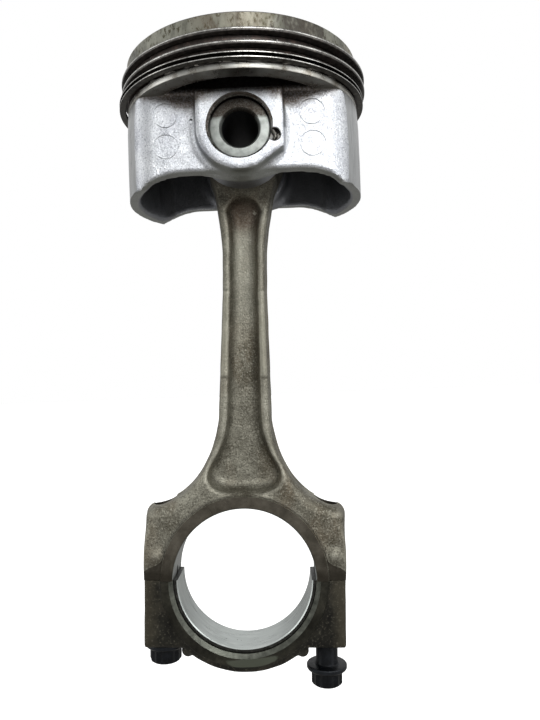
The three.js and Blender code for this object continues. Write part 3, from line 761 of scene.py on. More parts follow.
def bronze():
    """Small-end bush: bored bronze with tarnish."""
    f = Finish("bronze", 0.92, 0.33)
    lines = f.tool_marks(f.y, 0.4)
    tarnish = f.noise(3, 4, 0.6)
    f.colour(f.ramp(tarnish, (0.32, shade(0x4D3620)), (0.5, shade(0x80603A)), (0.72, shade(0xA88452))))
    f.rough(f.span(tarnish, 0.35, 0.65, 0.26, 0.45))
    f.relief(lines, 0.03, 0.4)


def forged_steel(tone):
    """Shot-blasted forging: olive-brown skin, pale high spots, and painted shade in the hollows and
    round the eye.
    """
    f = Finish("forged_steel", 0.72, 0.48)
    cloud = f.noise(11, 4, 0.6)
    brown = f.noise(17, 3, 0.6, f.stretched(z=0.45))
    grain = f.noise(0.75, 4, 0.7)
    shot = f.cells(0.85)
    raised_grain = f.span(grain, 0.52, 0.7)
    base = f.mix(f.span(cloud, 0.36, 0.66), tone, shade(0x918F82))
    warm = f.mix(f.span(brown, 0.5, 0.66, 0, 0.35), base, shade(0x7D6C55))
    pitted = f.mix(f.span(f.noise(0.55, 2, 0.5), 0.5, 0.36, 0, 0.6), warm, shade(0x3B382E))
    speck = f.mix(f.times(raised_grain, 0.62), pitted, shade(0xC2BFB0))
    pointiness_value = f.node("ShaderNodeNewGeometry").outputs["Pointiness"]
    # Painted shade: hollows and creases, found by pointiness, are painted near black.
    hollow = f.mix(f.span(pointiness_value, 0.492, 0.455, 0, 0.85), speck, shade(0x1E1C17))
    copper = f.times(f.span(f.size(f.x), 7, 3), f.times(f.span(f.z, 124, 130), f.span(f.z, 139, 136)))
    tinted = f.mix(f.times(copper, 0.5), hollow, shade(0x5A453A))
    # Painted shade: the rod's upper end round the eye, inside the piston, is painted dark.
    eye_shaded = f.mix(f.span(f.z, 135, 143, 0, 0.62), tinted, shade(0x26221D))
    pale = f.mix(f.span(pointiness_value, 0.51, 0.55, 0, 0.6), eye_shaded, shade(0xC0BEB0))
    upper = f.times(f.span(f.z, 84, 112), f.span(f.z, 130, 124))
    web = f.times(upper, f.span(f.size(f.x), 4.6, 3.6, 0, 0.34))
    lighter = f.mix(web, pale, shade(0xBAB9AB))
    rail = f.times(f.span(f.size(f.x), 5.4, 5.8), f.span(f.size(f.y), 6.6, 7))
    flat_middle = f.size(f.minus(f.z, 88.2))
    flat = f.times(f.span(flat_middle, 16, 14.8), rail)
    step = f.times(f.span(f.size(f.minus(flat_middle, 15.8)), 0.6, 0.2), rail)
    ground = f.mix(f.times(flat, 0.42), lighter, shade(0xA9A798))
    stepped = f.mix(f.times(step, 0.26), ground, shade(0x35332B))
    low = f.span(f.plus(f.z, f.times(cloud, 8)), 13, 6, 0, 0.6)
    f.colour(f.mix(low, stepped, shade(0x2B2720)))
    f.rough(f.span(grain, 0.3, 0.7, 0.42, 0.6))
    f.relief(shot, 0.14, 0.55)
    f.relief(grain, 0.16, 0.8)


def machined_steel():
    """Thrust faces, bores and flats of the rod: smooth, darker, with tool arcs."""
    f = Finish("machined_steel", 0.86, 0.32)
    radius = f.reach(f.x, f.z)
    lines = f.tool_marks(f.plus(radius, f.times(f.y, 1.3)), 0.45)
    oil = f.noise(5.5, 5, 0.65)
    fine = f.noise(0.6, 3, 0.6)
    clean = f.ramp(oil, (0.3, shade(0x4A463D)), (0.5, shade(0x625D53)), (0.72, shade(0x777267)))
    low = f.span(f.plus(f.z, f.times(oil, 8)), 14, 6, 0, 0.7)
    base = f.mix(low, clean, shade(0x2B2720))
    bare = f.times(f.span(radius, HOUSING_RADIUS + 0.25, HOUSING_RADIUS + 0.05), f.span(f.z, 0, 1))
    f.colour(f.mix(bare, base, shade(0xA3A7A5)))
    f.rough(f.span(fine, 0.3, 0.7, 0.27, 0.42))
    f.relief(lines, 0.025, 0.45)


def cap_steel():
    """Rod cap: darker and smoother than the forging, with oily patches."""
    f = Finish("cap_steel", 0.7, 0.42)
    cloud = f.noise(8, 5, 0.65)
    grain = f.noise(0.9, 4, 0.65)
    base = f.ramp(cloud, (0.34, shade(0x1C1B18)), (0.5, shade(0x2D2C26)), (0.68, shade(0x423F37)))
    wander = f.plus(f.size(f.x), f.times(cloud, 8))
    side = f.mix(f.span(wander, 34, 38, 0, 0.6), base, shade(0x544F42))
    speck = f.mix(f.span(grain, 0.56, 0.68, 0, 0.4), side, shade(0x807B6C))
    f.colour(speck)
    f.rough(f.span(grain, 0.3, 0.7, 0.34, 0.54))
    f.relief(grain, 0.12, 0.7)


def cap_face():
    """Thrust faces of the cap: dark, ground flat, with tool arcs and oil."""
    f = Finish("cap_face", 0.8, 0.36)
    lines = f.tool_marks(f.reach(f.x, f.z), 0.45)
    oil = f.noise(6, 5, 0.65)
    ground = f.ramp(oil, (0.34, shade(0x24231E)), (0.52, shade(0x35342D)), (0.7, shade(0x4A483F)))
    along = f.maths("DIVIDE", f.minus(f.x, 2.5), 9)
    off_line = f.maths("DIVIDE", f.minus(f.reach(f.x, f.z), 28.7), 1.7)
    patch = f.plus(f.reach(along, off_line), f.times(oil, 0.9))
    bare = f.times(f.span(patch, 1.55, 1.4, 0, 0.75), f.span(f.z, -18, -20))
    f.colour(f.mix(bare, ground, shade(0x6A6F62)))
    f.rough(f.span(oil, 0.3, 0.7, 0.3, 0.44))
    f.relief(lines, 0.025, 0.45)


def bright_chamfer():
    """Chamfer round the crank bore: bare, olive grey."""
    tones = ((0.3, 0x42443E), (0.52, 0x54564F), (0.72, 0x686A62))
    clouded("bright_chamfer", 0.92, 0.33, 2.4, None, tones, (0.3, 0.7, 0.27, 0.42), 0.04)


def bearing_metal():
    """Running face of the crank bearing: satin, polished by the journal, faint streaks."""
    f = Finish("bearing_metal", 0.85, 0.3)
    around = f.noise(3.5, 3, 0.5, f.stretched(y=2.2, x=0.4, z=0.4))
    cloud = f.noise(7, 3, 0.6)
    speck = f.span(f.noise(1.3, 2, 0.5), 0.735, 0.76)
    base = f.ramp(around, (0.3, shade(0xB3B9B6)), (0.5, shade(0xC0C6C3)), (0.7, shade(0xCDD2CF)))
    mottled = f.mix(f.span(cloud, 0.55, 0.7, 0, 0.35), base, shade(0x9FA5A2))
    f.colour(f.mix(speck, mottled, shade(0x2B2C2B)))
    f.rough(f.span(around, 0.3, 0.7, 0.25, 0.38))
    f.relief(around, 0.03, 0.5)


def shell_steel():
    """Back and edges of the bearing shell: dark oiled steel."""
    tones = ((0.35, 0x2A2A28), (0.55, 0x3C3C39), (0.75, 0x5B5B56))
    clouded("shell_steel", 0.8, 0.36, 2.2, None, tones, (0.35, 0.65, 0.28, 0.46), 0.03)


def black_oxide(tone):
    """Bolts: blue-black oxide rubbed grey on the corners."""
    f = Finish("black_oxide", 0.62, 0.36)
    cloud = f.noise(2.4, 4, 0.65)
    fine = f.noise(0.45, 3, 0.6)
    base = f.mix(f.span(cloud, 0.35, 0.7), tone, shade(0x171A1F))
    dust = f.mix(f.span(fine, 0.63, 0.74, 0, 0.3), base, shade(0x4A5058))
    pointiness_value = f.node("ShaderNodeNewGeometry").outputs["Pointiness"]
    f.colour(f.mix(f.span(pointiness_value, 0.54, 0.62, 0, 0.5), dust, shade(0x5A6068)))
    f.rough(f.span(cloud, 0.3, 0.7, 0.28, 0.48))
    f.relief(fine, 0.05, 0.6)


# ---------------------------------------------------------------- piston


def piston_field(x, y, z):
    """Casting of the piston before machining."""
    ay, ax = np.abs(y), np.abs(x)
    r = np.sqrt(x * x + y * y)

    def plan(wall):
        corner = PANEL_CORNER - wall
        reach_x = np.maximum(ax - (PANEL_X - PANEL_CORNER), 0)
        reach_y = np.maximum(ay - (PANEL_Y - PANEL_CORNER), 0)
        panels = np.hypot(reach_x, reach_y) - corner
        inset = SKIRT_WALL if wall else -TURNING_ALLOWANCE
        skirt = np.maximum(r - SKIRT_RADIUS + inset, ay - SKIRT_EDGE_Y + wall)
        return np.minimum(panels, skirt)

    rise = np.sqrt(np.maximum(ARCH_RADIUS**2 - np.maximum(ax - ARCH_FLAT_X, 0) ** 2, 0))
    arch = np.maximum(ARCH_TOP - ARCH_RADIUS + rise, SKIRT_BOTTOM)
    lower = np.where(ay > SKIRT_EDGE_Y - 4, arch, SKIRT_BOTTOM)
    lip = 0.42 * np.clip(PANEL_Y - ay, 0, 3.2) * ease(-y, SKIRT_EDGE_Y - 2, SKIRT_EDGE_Y + 2)
    lower = np.maximum(lower - lip, SKIRT_BOTTOM)
    walls = soft_max(np.maximum(plan(0), z - BELT_BOTTOM - 2), lower - z, 0.6)
    belt = np.maximum(np.maximum(r - LAND_RADIUS - 0.8, BELT_BOTTOM - z), z - CROWN_TOP - 0.8)
    body = soft_min(walls, belt, 0.6)

    squeeze = ease(z, 7.5, 14)
    limit = (SKIRT_RADIUS - SKIRT_WALL) * (1 - squeeze) + BELT_INNER * squeeze
    hollow = soft_max(soft_max(plan(PANEL_WALL), r - limit, 2), z - CROWN_UNDERSIDE, 7)
    body = soft_max(body, -hollow, 0.9)

    across = np.sqrt(x * x + z * z)
    tube = soft_max(across - BOSS_RADIUS, ay - BOSS_Y[1] + 2.6, 5)
    tube = np.maximum(tube, z - BELT_BOTTOM - 1)
    tube = soft_max(tube, BOSS_Y[0] - ay, 1.5)
    pillar = ax - PILLAR_HALF_WIDTH - 0.12 * np.maximum(z - 8, 0)
    for face in (ay - PANEL_Y + 1, BOSS_Y[0] - ay, -z, z - CROWN_UNDERSIDE - 1):
        pillar = np.maximum(pillar, face)
    boss = soft_min(tube, pillar, 2)
    inner = soft_min(body, boss, 4)
    body = np.where(ay < PANEL_Y - 1.5, inner, soft_min(body, boss, 1.6))
    slant = 0.588 * (x - PAD_RADIUS) - 0.809 * (z + 7.3)
    pad_plan = np.where(z > 0, ax - PAD_RADIUS, across - PAD_RADIUS)
    pad_plan = np.where(x > 7, np.maximum(x - PAD_RADIUS, slant), pad_plan)
    pad = soft_max(np.maximum(pad_plan, z - BELT_BOTTOM - 0.5), ay - BOSS_Y[1], 1.1)
    pad = np.maximum(pad, PANEL_Y - 2 - ay)
    body = soft_min(body, pad, 0.5)

    teeth = 0.55 * np.abs(((x / 2.6) % 1) * 2 - 1) * ease(-ax, -27, -25)
    pocket = np.maximum(r - BELT_INNER, PANEL_Y + 0.1 + teeth - ay)
    pocket = np.maximum(np.maximum(pocket, z - POCKET_ROOF), BELT_BOTTOM - 0.6 - z)
    body = soft_max(body, -pocket, 0.5)
    return body + 0.05 * ripple(x, y, z, 7)


def piston_envelope():
    """Turning tool's path round the skirt, the ring belt and the crown, as one cutter."""
    outer = 52
    path = [
        (outer, SKIRT_BOTTOM - 6),
        (SKIRT_RADIUS - 0.25, SKIRT_BOTTOM - 6),
        (SKIRT_RADIUS - 0.06, SKIRT_BOTTOM + 4),
        (SKIRT_RADIUS, -6),
        (SKIRT_RADIUS - 0.05, 6),
        (SKIRT_RADIUS - 0.3, BELT_BOTTOM - 1),
        (LAND_RADIUS - 0.15, BELT_BOTTOM),
        (LAND_RADIUS, BELT_BOTTOM + 0.25),
    ]
    for low, high in (OIL_GROOVE, SECOND_GROOVE, TOP_GROOVE):
        path += [
            (LAND_RADIUS, low - 0.18),
            (LAND_RADIUS - 0.18, low),
            (GROOVE_ROOT, low),
            (GROOVE_ROOT, high),
            (LAND_RADIUS - 0.18, high),
            (LAND_RADIUS, high + 0.18),
        ]
    path += [
        (LAND_RADIUS, CROWN_TOP - 0.5),
        (LAND_RADIUS - 0.5, CROWN_TOP),
        (DISH_RADIUS + 1.5, CROWN_TOP),
        (DISH_RADIUS + 0.4, CROWN_TOP - 0.35),
        (DISH_RADIUS - 0.6, CROWN_TOP - 1),
        (0, CROWN_TOP - 1),
        (0, CROWN_TOP + 6),
        (outer, CROWN_TOP + 6),
    ]
    return lathe(path, 256)


def valve_pockets():
    """Cutters for two intake and two exhaust valve reliefs, leaned outwards."""
    cutters = []
    intake, exhaust = (18.5, 16, 14.8), (-18.5, 14.5, 12.5)
    for x, y, radius in (intake, (18.5, -16, 14.8), exhaust, (-18.5, -14.5, 12.5)):
        head = lathe([(0, 0), (radius - 0.4, 0), (radius, 0.4), (radius, 9), (0, 9)], 72)
        lean = Matrix.Rotation(radians(11 if x > 0 else -11), 3, "Y")
        cutters.append(moved(head, x, y, CROWN_TOP - 1.6, lean))
    return cutters


def pin_bore(side):
    """Bore, clip groove, outer chamfer and clip notch of one boss."""
    bore = lathe(
        [
            (0, 5),
            (PIN_BORE, 5),
            (PIN_BORE, CLIP_Y - 0.8),
            (CLIP_GROOVE_RADIUS, CLIP_Y - 0.8),
            (CLIP_GROOVE_RADIUS, CLIP_Y + 0.8),
            (PIN_BORE, CLIP_Y + 0.8),
            (PIN_BORE, BOSS_Y[1] - 0.6),
            (PIN_BORE + 1.2, BOSS_Y[1] + 0.6),
            (0, BOSS_Y[1] + 0.6),
        ],
        128,
        "Y",
    )
    radius, face, floor = NOTCH[2], BOSS_Y[1], CLIP_Y - 0.8
    notch = [(0, floor), (radius, floor), (radius, face - 0.3), (radius + 0.7, face + 0.4)]
    notch = lathe(notch + [(0, face + 0.4)], 32, "Y")
    notch = moved(notch, NOTCH[0], 0, NOTCH[1])
    if side > 0:
        return bore, notch
    turn = Matrix.Rotation(pi, 3, "Z")
    flip = Matrix.Diagonal((1, -1, 1))
    return moved(bore, turn=turn), moved(notch, turn=flip)


def casting_marks():
    """Round ejector marks on the front panel, as thin grooves, and one small pit."""
    depth = 0.28
    cuts = []
    for x, z, radius in ((24.4, 5.6, 4.3), (24.4, -5.2, 4.3), (-25.3, 6.2, 4.1), (-25.5, -4.5, 4.1)):
        inner, outer = radius - 0.16, radius + 0.16
        ring = [(inner, 0), (outer, 0), (outer, 2 * depth), (inner, 2 * depth)]
        cuts.append(moved(lathe(ring, 48, "Y"), x, -PANEL_Y - depth, z))
    pit = lathe([(0, 0), (0.75, 0), (0.5, 1.3), (0, 1.3)], 9, "Y")
    cuts.append(moved(pit, -16.6, -PANEL_Y - 0.5, 4.2))
    return cuts


def oil_drains():
    """Round drain holes from the oil groove into the hollow."""
    holes = []
    height = (OIL_GROOVE[0] + OIL_GROOVE[1]) / 2
    for base in (0, 180):
        for angle in (-24, -8, 8, 24):
            hole = lathe([(0, 30), (1.05, 30), (1.05, 41), (0, 41)], 20, "Y")
            turn = Matrix.Rotation(radians(base + angle - 90), 3, "Z")
            holes.append(moved(hole, z=height, turn=turn))
    return holes


def build_piston(sizes):
    """Cast piston, turned, bored and marked."""
    cast = MATERIALS["cast_aluminium"]
    voxel = grid_step(sizes.casting_detail)
    low, high = (-45.5, -45.5, SKIRT_BOTTOM - 2), (45.5, 45.5, CROWN_TOP + 2.5)
    piece = as_object("piston", grown(piston_field, low, high, voxel), cast)
    machine(piece, piston_envelope(), finish=MATERIALS["turned_skirt"])
    for cutter in valve_pockets():
        machine(piece, cutter, finish=MATERIALS["crown_carbon"])
    for side in (1, -1):
        for cutter in pin_bore(side):
            machine(piece, cutter, finish=MATERIALS["bored_aluminium"])
    machine(piece, together(*oil_drains()), finish=MATERIALS["bored_aluminium"])
    machine(piece, together(*casting_marks()), finish=cast)
    for name in ("crown_land", "dark_land", "bright_turned"):
        piece.data.materials.append(MATERIALS[name])
    slots = slot_numbers(piece)

    def rule(middle, normal, index):
        x, y, z = middle
        r = np.hypot(x, y)
        turned = index == slots["turned_skirt"]
        chosen = index.copy()
        on_belt = turned & (z > BELT_BOTTOM - 0.1)
        chosen[on_belt] = slots["dark_land"]
        land = on_belt & (r > LAND_RADIUS - 0.4)
        chosen[land & (z > TOP_GROOVE[1])] = slots["crown_land"]
        chosen[land & (z < OIL_GROOVE[0] + 0.05)] = slots["bright_turned"]
        chosen[turned & (normal[2] > 0.5) & (z > CROWN_TOP - 2)] = slots["crown_carbon"]
        chosen[turned & (z > CROWN_TOP - 1.2) & (r < LAND_RADIUS - 0.7)] = slots["crown_carbon"]
        under = (index == slots["cast_aluminium"]) & (normal[2] < -0.8)
        under &= (np.abs(z - BELT_BOTTOM) < 0.35) & (r > BELT_INNER + 0.2)
        chosen[under] = slots["bright_turned"]
        return chosen

    finish_faces(piece, rule)
    smooth(piece)
    mount(piece, "piston", "cast_aluminium", "piston_body")


# ---------------------------------------------------------------- rings


def eased_section(inner, outer, low, high, chamfer):
    """Ring section with small chamfers on all four corners."""
    return [
        (inner + chamfer, low),
        (outer - chamfer, low),
        (outer, low + chamfer),
        (outer, high - chamfer),
        (outer - chamfer, high),
        (inner + chamfer, high),
        (inner, high - chamfer),
        (inner, low + chamfer),
    ]


def barrel_section(inner, outer, low, high, band):
    """Ring section whose running face stands out in one narrow band."""
    bottom, top = band
    return [
        (inner + 0.12, low),
        (outer - 0.2, low),
        (outer - 0.08, low + 0.12),
        (outer, bottom),
        (outer, top),
        (outer - 0.05, high - 0.1),
        (outer - 0.16, high),
        (inner + 0.12, high),
        (inner, high - 0.12),
        (inner, low + 0.12),
    ]


def split_ring(name, body, slot, node, section, gap, gap_angle, offset):
    """One split ring: dark sides and a running face that is rubbed bright."""
    outer = max(r for r, _ in section)
    half = atan2(gap / 2, outer) * 180 / pi
    shape = swept_ring(section, gap_angle + half, gap_angle + 360 - half, 300)
    piece = as_object(name, shape, MATERIALS[slot], MATERIALS["ring_face"])

    def rule(middle, normal, index):
        return np.where(np.hypot(middle[0], middle[1]) > outer - 0.02, 1, 0)

    finish_faces(piece, rule)
    smooth(piece, 25)
    piece.location = (offset * MM, 0, 0)
    mount(piece, body, slot, node)


def build_rings(sizes):
    gap = sizes.ring_gap / MM
    top, second = TOP_GROOVE[0], SECOND_GROOVE[0]
    upper = OIL_GROOVE[1] - SIDE_CLEARANCE - RAIL_HEIGHT
    lower = OIL_GROOVE[0] + SIDE_CLEARANCE
    for name, body, node, inner, floor, rubbed, angle in (
        ("ring_top", "top_ring", "top_compression_ring", 42.1, top, (0.62, 0.98), 70),
        ("ring_second", "second_ring", "second_compression_ring", 41.7, second, (0.55, 0.95), 115),
    ):
        low = floor + SIDE_CLEARANCE
        band = (low + rubbed[0], low + rubbed[1])
        section = barrel_section(inner, RING_RADIUS, low, low + RING_HEIGHT, band)
        split_ring(name, body, "ring_iron", node, section, gap, angle, RING_OFFSET)
    for name, body, node, low, angle in (
        ("rail_upper", "upper_rail", "oil_ring_upper_rail", upper, 55),
        ("rail_lower", "lower_rail", "oil_ring_lower_rail", lower, 80),
    ):
        section = eased_section(RAIL_INNER, RAIL_RADIUS, low, low + RAIL_HEIGHT, 0.1)
        split_ring(name, body, "rail_steel", node, section, gap, angle, RAIL_OFFSET)


def build_expander():
    """Corrugated spacer between the oil rails."""
    inset, steps, waves, middle, half = 0.58, 720, 30, 40.5, 0.45
    low, high = OIL_GROOVE[0] + inset, OIL_GROOVE[1] - inset
    rings = []
    for i in range(steps + 1):
        part = i / steps
        angle = pi / 2 + 0.006 + part * (2 * pi - 0.012)
        wave = middle + 0.4 * np.tanh(2.2 * sin(waves * 2 * pi * part)) / np.tanh(2.2)
        section = eased_section(wave - half, wave + half, low, high, 0.12)
        rings.append([(r * cos(angle), r * sin(angle), height) for r, height in section])
    piece = as_object("ring_expander", skin(rings), MATERIALS["rail_steel"])
    smooth(piece, 25)
    mount(piece, "expander", "rail_steel", "oil_ring_expander")


# ---------------------------------------------------------------- wrist pin, clips, bush


def build_pin():
    """Hollow wrist pin with eased ends and a black hole."""
    end, outer, hole = PIN_END, PIN_RADIUS, PIN_HOLE
    profile = [
        (hole, 0),
        (hole, end - 2.4),
        (hole + 0.08, end - 1.6),
        (hole + 0.75, end - 0.15),
        (hole + 0.95, end),
        (outer - 0.75, end),
        (outer - 0.45, end - 0.1),
        (outer - 0.12, end - 0.42),
        (outer, end - 0.9),
        (outer, 0),
    ]
    back = [(r, -h) for r, h in reversed(profile[1:-1])]
    shape = lathe(profile + back, 160, "Y")
    finishes = MATERIALS["ground_steel"], MATERIALS["pin_hole_black"]
    piece = as_object("wrist_pin_ground", shape, *finishes)

    def rule(middle, normal, index):
        inside = np.hypot(middle[0], middle[2]) < hole + 0.3
        return np.where(inside & (np.abs(middle[1]) < end - 0.7), 1, 0)

    finish_faces(piece, rule)
    smooth(piece)
    mount(piece, "pin", "ground_steel", "wrist_pin")


def wire(points, radius):
    """Round wire along a line of points, with flat ends."""
    sides = 14
    line = [Vector(p) for p in points]
    rings = []
    for i, point in enumerate(line):
        ahead = (line[min(i + 1, len(line) - 1)] - line[max(i - 1, 0)]).normalized()
        side = ahead.cross(Vector((0, 1, 0))).normalized()
        rise = side.cross(ahead)
        ring = []
        for k in range(sides):
            angle = 2 * pi * k / sides
            ring.append(tuple(point + radius * (cos(angle) * side + sin(angle) * rise)))
        rings.append(ring)
    return skin(rings)


def build_clips(sizes):
    """Open wire clips that hold the pin, each with one end hooked out into its notch."""
    hook = [(11.2, -4.9), (11.9, -4.1), (11.8, -3.1), (11.3, -2.2)]
    line = hook + arc((0, 0), CLIP_RADIUS, -7, 305, 96)
    ends = ("clip_front", -1, "pin_clip_front"), ("clip_rear", 1, "pin_clip_rear")
    for name, side, node in ends:
        points = [(x, side * CLIP_Y, z) for x, z in line]
        piece = as_object(name, wire(points, sizes.clip_wire / MM / 2), MATERIALS["spring_steel"])
        smooth(piece, 40)
        mount(piece, "piston", "spring_steel", node)


def sleeve_section(inner, outer, half, inside, outside):
    """Section of a sleeve; its chamfers are given as (across the wall, along the axis)."""
    low = [
        (inner, inside[1] - half),
        (inner + inside[0], -half),
        (outer - outside[0], -half),
        (outer, outside[1] - half),
    ]
    return low + [(r, -h) for r, h in reversed(low)]


def build_bush():
    """Bronze bush pressed into the rod's small end."""
    half = EYE_HALF_WIDTH - 0.3
    section = sleeve_section(PIN_BORE, BUSH_OUTER, half, (0.45, 0.5), (0.2, 0.25))
    piece = as_object("small_end_liner", lathe(section, 128, "Y"), MATERIALS["bronze"])
    smooth(piece)
    piece.matrix_world = Matrix.Rotation(ROD_SWING, 4, "Y")
    mount(piece, "rod", "bronze", "small_end_bush")


# ---------------------------------------------------------------- rod and cap


def rod_outline():
    """Beam and shoulders from the parting line up, without the eye."""
    right = [(SHOULDER_X, -2), (SHOULDER_X, 22)]
    right += arc((SHOULDER_X - 4, 22), 4, 0, 90, 8)
    right += bezier((SHOULDER_X - 4, 26), (19, 29), (11.5, 42), (9.6, 57), 24)
    right += [(8, 104), (8, 118.5)]
    right += bow((8, 118.5), (8.3, 126.5), (11.5, 144.5), 12)
    return mirrored(right)


def pocket_outline():
    """Long pocket in each face of the beam, wider at the crank end."""
    right = [(0.01, 30.8), (6, 30.8)]
    right += bezier((6, 30.8), (13, 31.5), (15.5, 36), (11.5, 42), 12)
    right += bow((11.5, 42), (6.2, 50), (6.1, 60), 10)
    right += [(5.1, 100), (5.1, 121)]
    right += bow((5.1, 121), (5.2, 130), (6.5, 133), 6)
    right += bow((6.5, 133), (5.5, 138), (0.01, 138.3), 8)
    return mirrored(right)


def rod_field(x, y, z):
    """Forging of the rod before machining."""
    ax, ay = np.abs(x), np.abs(y)
    outline = outline_distance(rod_outline(), x, z)
    shoulder = 1 - ease(z, 38, 60)
    half = BEAM_HALF + (SHOULDER_HALF - BEAM_HALF) * shoulder
    ground = 0.28 * ease(z, 72, 73.2) * (1 - ease(z, 103, 104.2))
    crest = ease(ax, 17, 24) * ease(z, 8, 20)
    upright = ease(z, 14, 22)
    fall = np.where(y < 0, 0.008, 0.022)
    rim = outline + (0.012 + 0.043 * upright) * ay + fall * y * y * crest
    rounding = 2.0 + 1.8 * shoulder - 2.6 * (1 - upright)
    forging = soft_max(rim, ay - half - ground, rounding)
    flash = np.maximum(outline - 0.28 * upright, ay - 0.75)
    forging = soft_min(forging, flash, 0.7)
    eye = np.sqrt(x * x + (z - ROD_LENGTH) ** 2)
    eye = soft_max(eye - EYE_RADIUS + 0.03 * ay, ay - EYE_HALF_WIDTH - 0.6, 1.0)
    body = soft_min(forging, eye, 5)
    dent = outline_distance(pocket_outline(), x, z)
    slope = 0.2 * np.maximum(half - ay, 0)
    pocket = soft_max(dent + slope, WEB_HALF - ay, 3.2)
    body = soft_max(body, -pocket, 1.5)
    r = np.sqrt(x * x + z * z)
    ring = soft_max(r - THRUST_RADIUS, ay - THRUST_HALF_WIDTH - 0.6, 0.5)
    ring = np.maximum(ring, -z - 2)
    body = soft_min(body, ring, 1.2)
    bump = np.sqrt((ax - 31.8) ** 2 + (ay - 7.6) ** 2 + (z - 8.6) ** 2) - 2.5
    body = soft_min(body, bump, 1.8)
    return body + 0.07 * ripple(x, y, z, 9)


def build_rod(sizes):
    """Forged rod, ground, bored and drilled."""
    forged = MATERIALS["forged_steel"]
    cut = MATERIALS["machined_steel"]
    voxel = grid_step(sizes.rod_detail)
    low, high = (-39, -13.5, -3), (39, 13.5, ROD_LENGTH + EYE_RADIUS + 2)
    piece = as_object("rod_forging", grown(rod_field, low, high, voxel), forged)
    machine(piece, box((-60, -30, -20), (60, 30, PARTING)), finish=cut)
    bore = bore_cut(HOUSING_RADIUS, THRUST_HALF_WIDTH, (0.55, 0.55), 10, 20, 200)
    for side in (-1, 1):
        near, far = sorted((side * THRUST_HALF_WIDTH, side * 20))
        machine(piece, box((-60, near, -10), (60, far, 60)), finish=cut)
        near, far = sorted((side * EYE_HALF_WIDTH, side * 20))
        machine(piece, box((-60, near, 120), (60, far, 190)), finish=cut)
    machine(piece, bore, finish=cut)
    eye = bore_cut(BUSH_OUTER + 0.04, EYE_HALF_WIDTH, (0.46, 0.45), 3.86, 14, 128)
    machine(piece, moved(eye, z=ROD_LENGTH), finish=cut)
    for side in (-1, 1):
        hole = lathe([(0, -6), (BOLT_HOLE, -6), (BOLT_HOLE, 40), (0, 40)], 48)
        machine(piece, moved(hole, x=side * BOLT_X), finish=cut)
    for face in (-1, 1):
        near, far = sorted((face * (SHOULDER_HALF - 0.4), face * 12))
        for side in (-1, 1):
            flat = [(38, -1), (38, 2.8), (36, 3.1), (34.2, 4.4), (31.6, 5.3), (29.9, 6.6), (29, 8.6)]
            flat += arc((0, 0), THRUST_RADIUS + 0.3, 15.5, -2, 8)
            outline = [(side * x, z) for x, z in flat]
            machine(piece, raised(outline, near, far, "Y"), finish=cut)
    relief = [(-11.3, 23.2), (-8.6, 24.4), (-5.6, 28.2), (-8.2, 30.6), (-12.4, 28.6), (-13.6, 26.6)]
    machine(piece, raised(relief, -12, -THRUST_HALF_WIDTH + 0.4, "Y"), finish=cut)
    smooth(piece)
    piece.matrix_world = rod_place()
    mount(piece, "rod", "forged_steel", "connecting_rod")


def cap_outline():
    """Cap below the parting line: round back, two bolt pads."""
    seat = CAP_SEAT - 0.4
    right = arc((0, 0), CAP_BACK_RADIUS, -90, -47.5, 18)
    right += [(22.4, seat), (SHOULDER_X - 0.6, seat), (SHOULDER_X, seat + 1), (SHOULDER_X, 2)]
    return mirrored(right)


def cap_field(x, y, z):
    """Forging of the cap before machining."""
    ax, ay = np.abs(x), np.abs(y)
    outline = outline_distance(cap_outline(), x, z)
    body = soft_max(outline + 0.045 * ay, ay - SHOULDER_HALF, 1.8)
    r = np.sqrt(x * x + z * z)
    ring = soft_max(r - THRUST_RADIUS, ay - THRUST_HALF_WIDTH - 0.6, 0.5)
    body = soft_min(body, np.maximum(ring, z - 2), 1.6)
    lug = np.sqrt((ax - 20.6) ** 2 + (np.maximum(ay - 5.5, 0)) ** 2 + (z + 25.6) ** 2) - 2.3
    body = soft_min(body, lug, 1.2)
    return body + 0.06 * ripple(x, y, z, 8)


def build_cap(sizes):
    """Forged cap, ground, bored and drilled."""
    cap = MATERIALS["cap_steel"]
    cut = MATERIALS["machined_steel"]
    voxel = grid_step(sizes.cap_detail)
    low, high = (-38, -12.5, -34.5), (38, 12.5, 3.5)
    piece = as_object("rod_cap_forging", grown(cap_field, low, high, voxel), cap)
    machine(piece, box((-60, -30, -PARTING), (60, 30, 20)), finish=cut)
    for side in (-1, 1):
        near, far = sorted((side * THRUST_HALF_WIDTH, side * 20))
        machine(piece, box((-60, near, -60), (60, far, 10)), finish=MATERIALS["cap_face"])
    cut_bore = bore_cut(HOUSING_RADIUS, THRUST_HALF_WIDTH, (1.5, 1), 12, 20, 200)
    machine(piece, cut_bore, finish=MATERIALS["bright_chamfer"])
    for side in (-1, 1):
        mouth = [(0, -40), (5.3, -40), (5.3, CAP_SEAT), (BOLT_HOLE, CAP_SEAT + 1)]
        hole = lathe(mouth + [(BOLT_HOLE, 6), (0, 6)], 48)
        machine(piece, moved(hole, x=side * BOLT_X), finish=cut)
        seat = lathe([(0, -9), (BOLT_SEAT_RADIUS, -9), (BOLT_SEAT_RADIUS, 0), (0, 0)], 64)
        machine(piece, moved(seat, x=side * BOLT_X, z=CAP_SEAT), finish=cut)
    smooth(piece)
    piece.matrix_world = rod_place()
    mount(piece, "rod", "oiled_steel", "rod_cap")


